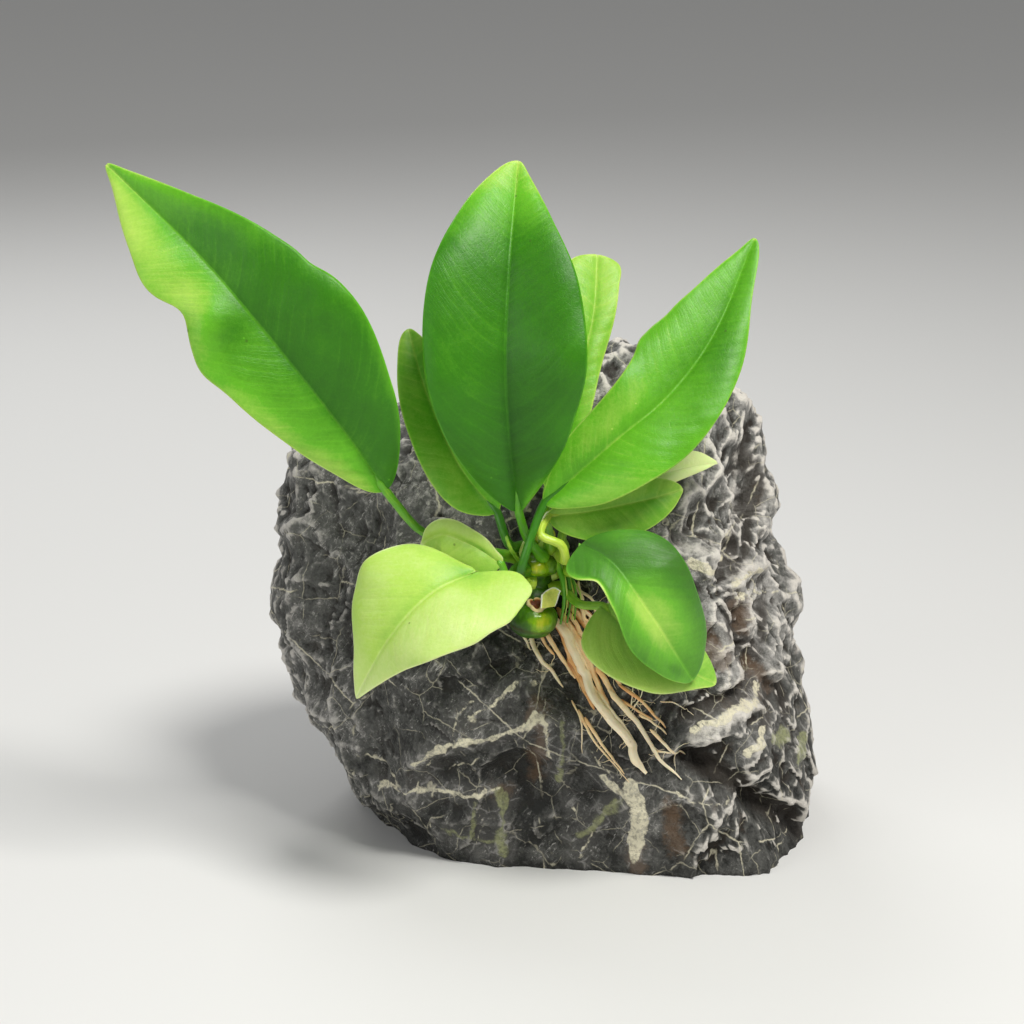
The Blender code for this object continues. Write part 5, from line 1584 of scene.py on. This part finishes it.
class ANUBIAS_OT_leaves(bpy.types.Operator):
    """Builds the eleven leaf blades"""
    bl_idname = "anubias.leaves"
    bl_label = "Leaf blades"

    def execute(self, context):
        settings = context.scene.anubias_leaf
        finishes = {slot: leaf_finish(slot, settings) for slot in ("leaf_green", "leaf_lime")}
        for name, leaf in LEAVES.items():
            node = "leaf_" + name
            slot = "leaf_lime" if name in LIME_LEAVES else "leaf_green"
            mesh = blade_mesh(node, leaf, LEAF_LOOKS[name], settings)
            add_piece("blade_" + name, mesh, finishes[slot], slot, node)
        return {"FINISHED"}


class ANUBIAS_OT_stalks(bpy.types.Operator):
    """Builds the leaf stalks, from the creeping stem to the blades"""
    bl_idname = "anubias.stalks"
    bl_label = "Leaf stalks"

    def execute(self, context):
        settings = context.scene.anubias_strand
        finish = stalk_finish(context.scene.anubias_leaf)
        axis, radii = stem_axis()
        for name, (foot, under, paleness, way) in STALKS.items():
            node = "stalk_" + name
            path, shares = stalk_path(LEAVES[name], foot, under, way, axis, radii)
            strand = (path, shares * settings.stalk_radius / MM, paleness)
            mesh = strand_mesh(node, [strand], settings, *STALK_UNEVENNESS, finish)
            add_piece("petiole_" + name, mesh, finish, "stalk_green", node)
        steps = np.linspace(0, 1, OLD_STALK_POINTS)
        remains = [(smooth_through(path, steps), start + (end - start) * steps, paleness)
                   for path, start, end, paleness in OLD_STALKS]
        mesh = strand_mesh("old_stalks", remains, settings, *OLD_STALK_UNEVENNESS, finish)
        add_piece("old_stalks", mesh, finish, "stalk_green")
        return {"FINISHED"}


class ANUBIAS_OT_stem(bpy.types.Operator):
    """Builds the knobbly creeping stem"""
    bl_idname = "anubias.stem"
    bl_label = "Creeping stem"

    def execute(self, context):
        axis, radii = stem_axis()
        mesh = stem_mesh(axis, radii)
        shape_stem(mesh)
        add_piece("rhizome", mesh, stem_finish(), "stem_green", "creeping_stem")
        return {"FINISHED"}


class ANUBIAS_OT_sheath(bpy.types.Operator):
    """Builds the torn old sheath and the cup it stands in"""
    bl_idname = "anubias.sheath"
    bl_label = "Old sheath"

    def execute(self, context):
        axis, radii = stem_axis()
        add_piece("torn_sheath", sheath_mesh(axis, radii), sheath_finish(), "sheath_straw", "old_sheath")
        add_piece("sheath_cup", cup_mesh(axis, radii), cup_finish(), "sheath_straw")
        return {"FINISHED"}


class ANUBIAS_OT_roots(bpy.types.Operator):
    """Builds the roots, their side strands and the rootlets on the stone"""
    bl_idname = "anubias.roots"
    bl_label = "Roots"

    def execute(self, context):
        settings = context.scene.anubias_strand
        unevenness = settings.root_unevenness
        skin = mesh_skin(bpy.data.objects["grey_stone"].data)
        finish = root_finish(settings)
        everything = []
        for name, strands in ROOTS.items():
            node = "root_" + name
            strands = [root_strand(skin, *strand) for strand in strands]
            everything += strands
            mesh = strand_mesh(node, strands, settings, unevenness, ROOT_UNEVENNESS_SIZE, finish)
            add_piece("rooting_" + name, mesh, finish, "root_cream", node)
        mesh = strand_mesh("rootlets", rootlet_paths(skin, everything), settings,
                           unevenness / 2, ROOTLET_UNEVENNESS_SIZE, finish)
        add_piece("rootlets", mesh, finish, "root_cream")
        return {"FINISHED"}


class ANUBIAS_OT_stage(bpy.types.Operator):
    """Sets up the plain floor, the soft light and the camera"""
    bl_idname = "anubias.stage"
    bl_label = "Floor, light and camera"

    def execute(self, context):
        settings = context.scene.anubias_stage
        finish = Finish("floor")
        clouds = finish.noise(finish.place(), 60, 3, 0.5) - 0.5
        pale = settings.floor
        colour = finish.mix(0.5 + clouds * 0.1, pale, [FLOOR_SHADE * value for value in pale])
        mesh = bpy.data.meshes.new("floor")
        half = FLOOR_SIZE / 2 * MM
        mesh.from_pydata([(-half, -half, 0), (half, -half, 0), (half, half, 0), (-half, half, 0)], [],
                         [(0, 1, 2, 3)])
        mesh.materials.append(finish.close(colour, 0.75 + clouds * 0.02, clouds * 0.01, 0.5))
        new_object("floor", mesh)
        target = Vector(CAMERA_TARGET) * MM
        for name, (place, size, power, tint) in LIGHTS.items():
            light = bpy.data.lights.new(name, "AREA")
            light.shape = "DISK"
            light.size = size * MM
            light.energy = power
            light.color = tint
            lamp = new_object(name, light)
            lamp.location = Vector(place) * MM
            lamp.rotation_euler = (target - lamp.location).to_track_quat("-Z", "Y").to_euler()
        world = bpy.data.worlds.new("studio")
        world.use_nodes = True
        surround = world.node_tree.nodes["Background"]
        surround.inputs["Color"].default_value = (1.0, 1.0, 1.0, 1.0)
        surround.inputs["Strength"].default_value = settings.sky
        context.scene.world = world
        context.scene.view_settings.view_transform = "Standard"
        context.scene.view_settings.exposure = settings.exposure
        lens = bpy.data.cameras.new("camera")
        lens.lens = CAMERA_LENS
        camera = new_object("camera", lens)
        rise = math.radians(CAMERA_ELEVATION)
        away = Vector((0, -math.cos(rise), math.sin(rise)))
        camera.location = target + away * CAMERA_DISTANCE * MM
        camera.rotation_euler = (math.pi / 2 - rise, 0, 0)
        context.scene.camera = camera
        return {"FINISHED"}


class ANUBIAS_PT_panel(bpy.types.Panel):
    """Lists the pieces of the plant and their settings"""
    bl_idname = "ANUBIAS_PT_panel"
    bl_label = "Anubias on stone"
    bl_space_type = "VIEW_3D"
    bl_region_type = "UI"
    bl_category = "Anubias"

    def draw(self, context):
        for operator, group in OPERATORS.items():
            box = self.layout.box()
            box.operator(operator.bl_idname)
            settings = getattr(context.scene, group)
            for name in settings.bl_rna.properties.keys():
                if name not in ("rna_type", "name"):
                    box.prop(settings, name)


GROUPS = {"anubias_stone": StoneSettings, "anubias_leaf": LeafSettings, "anubias_strand": StrandSettings,
          "anubias_stage": StageSettings}
# in the order of building, with the settings that the panel shows beside each
OPERATORS = {
    ANUBIAS_OT_stone: "anubias_stone", ANUBIAS_OT_leaves: "anubias_leaf", ANUBIAS_OT_stalks: "anubias_strand",
    ANUBIAS_OT_stem: "anubias_leaf", ANUBIAS_OT_sheath: "anubias_leaf", ANUBIAS_OT_roots: "anubias_strand",
    ANUBIAS_OT_stage: "anubias_stage",
}


def register():
    for group in GROUPS.values():
        bpy.utils.register_class(group)
    for name, group in GROUPS.items():
        setattr(bpy.types.Scene, name, PointerProperty(type=group))
    for item in (*OPERATORS, ANUBIAS_PT_panel):
        bpy.utils.register_class(item)


def unregister():
    for item in (ANUBIAS_PT_panel, *reversed(OPERATORS)):
        bpy.utils.unregister_class(item)
    for name in GROUPS:
        delattr(bpy.types.Scene, name)
    for group in reversed(GROUPS.values()):
        bpy.utils.unregister_class(group)


def main():
    register()
    bpy.ops.anubias.stone()
    bpy.ops.anubias.leaves()
    bpy.ops.anubias.stalks()
    bpy.ops.anubias.stem()
    bpy.ops.anubias.sheath()
    bpy.ops.anubias.roots()
    bpy.ops.anubias.stage()


if __name__ == "__main__":
    main()
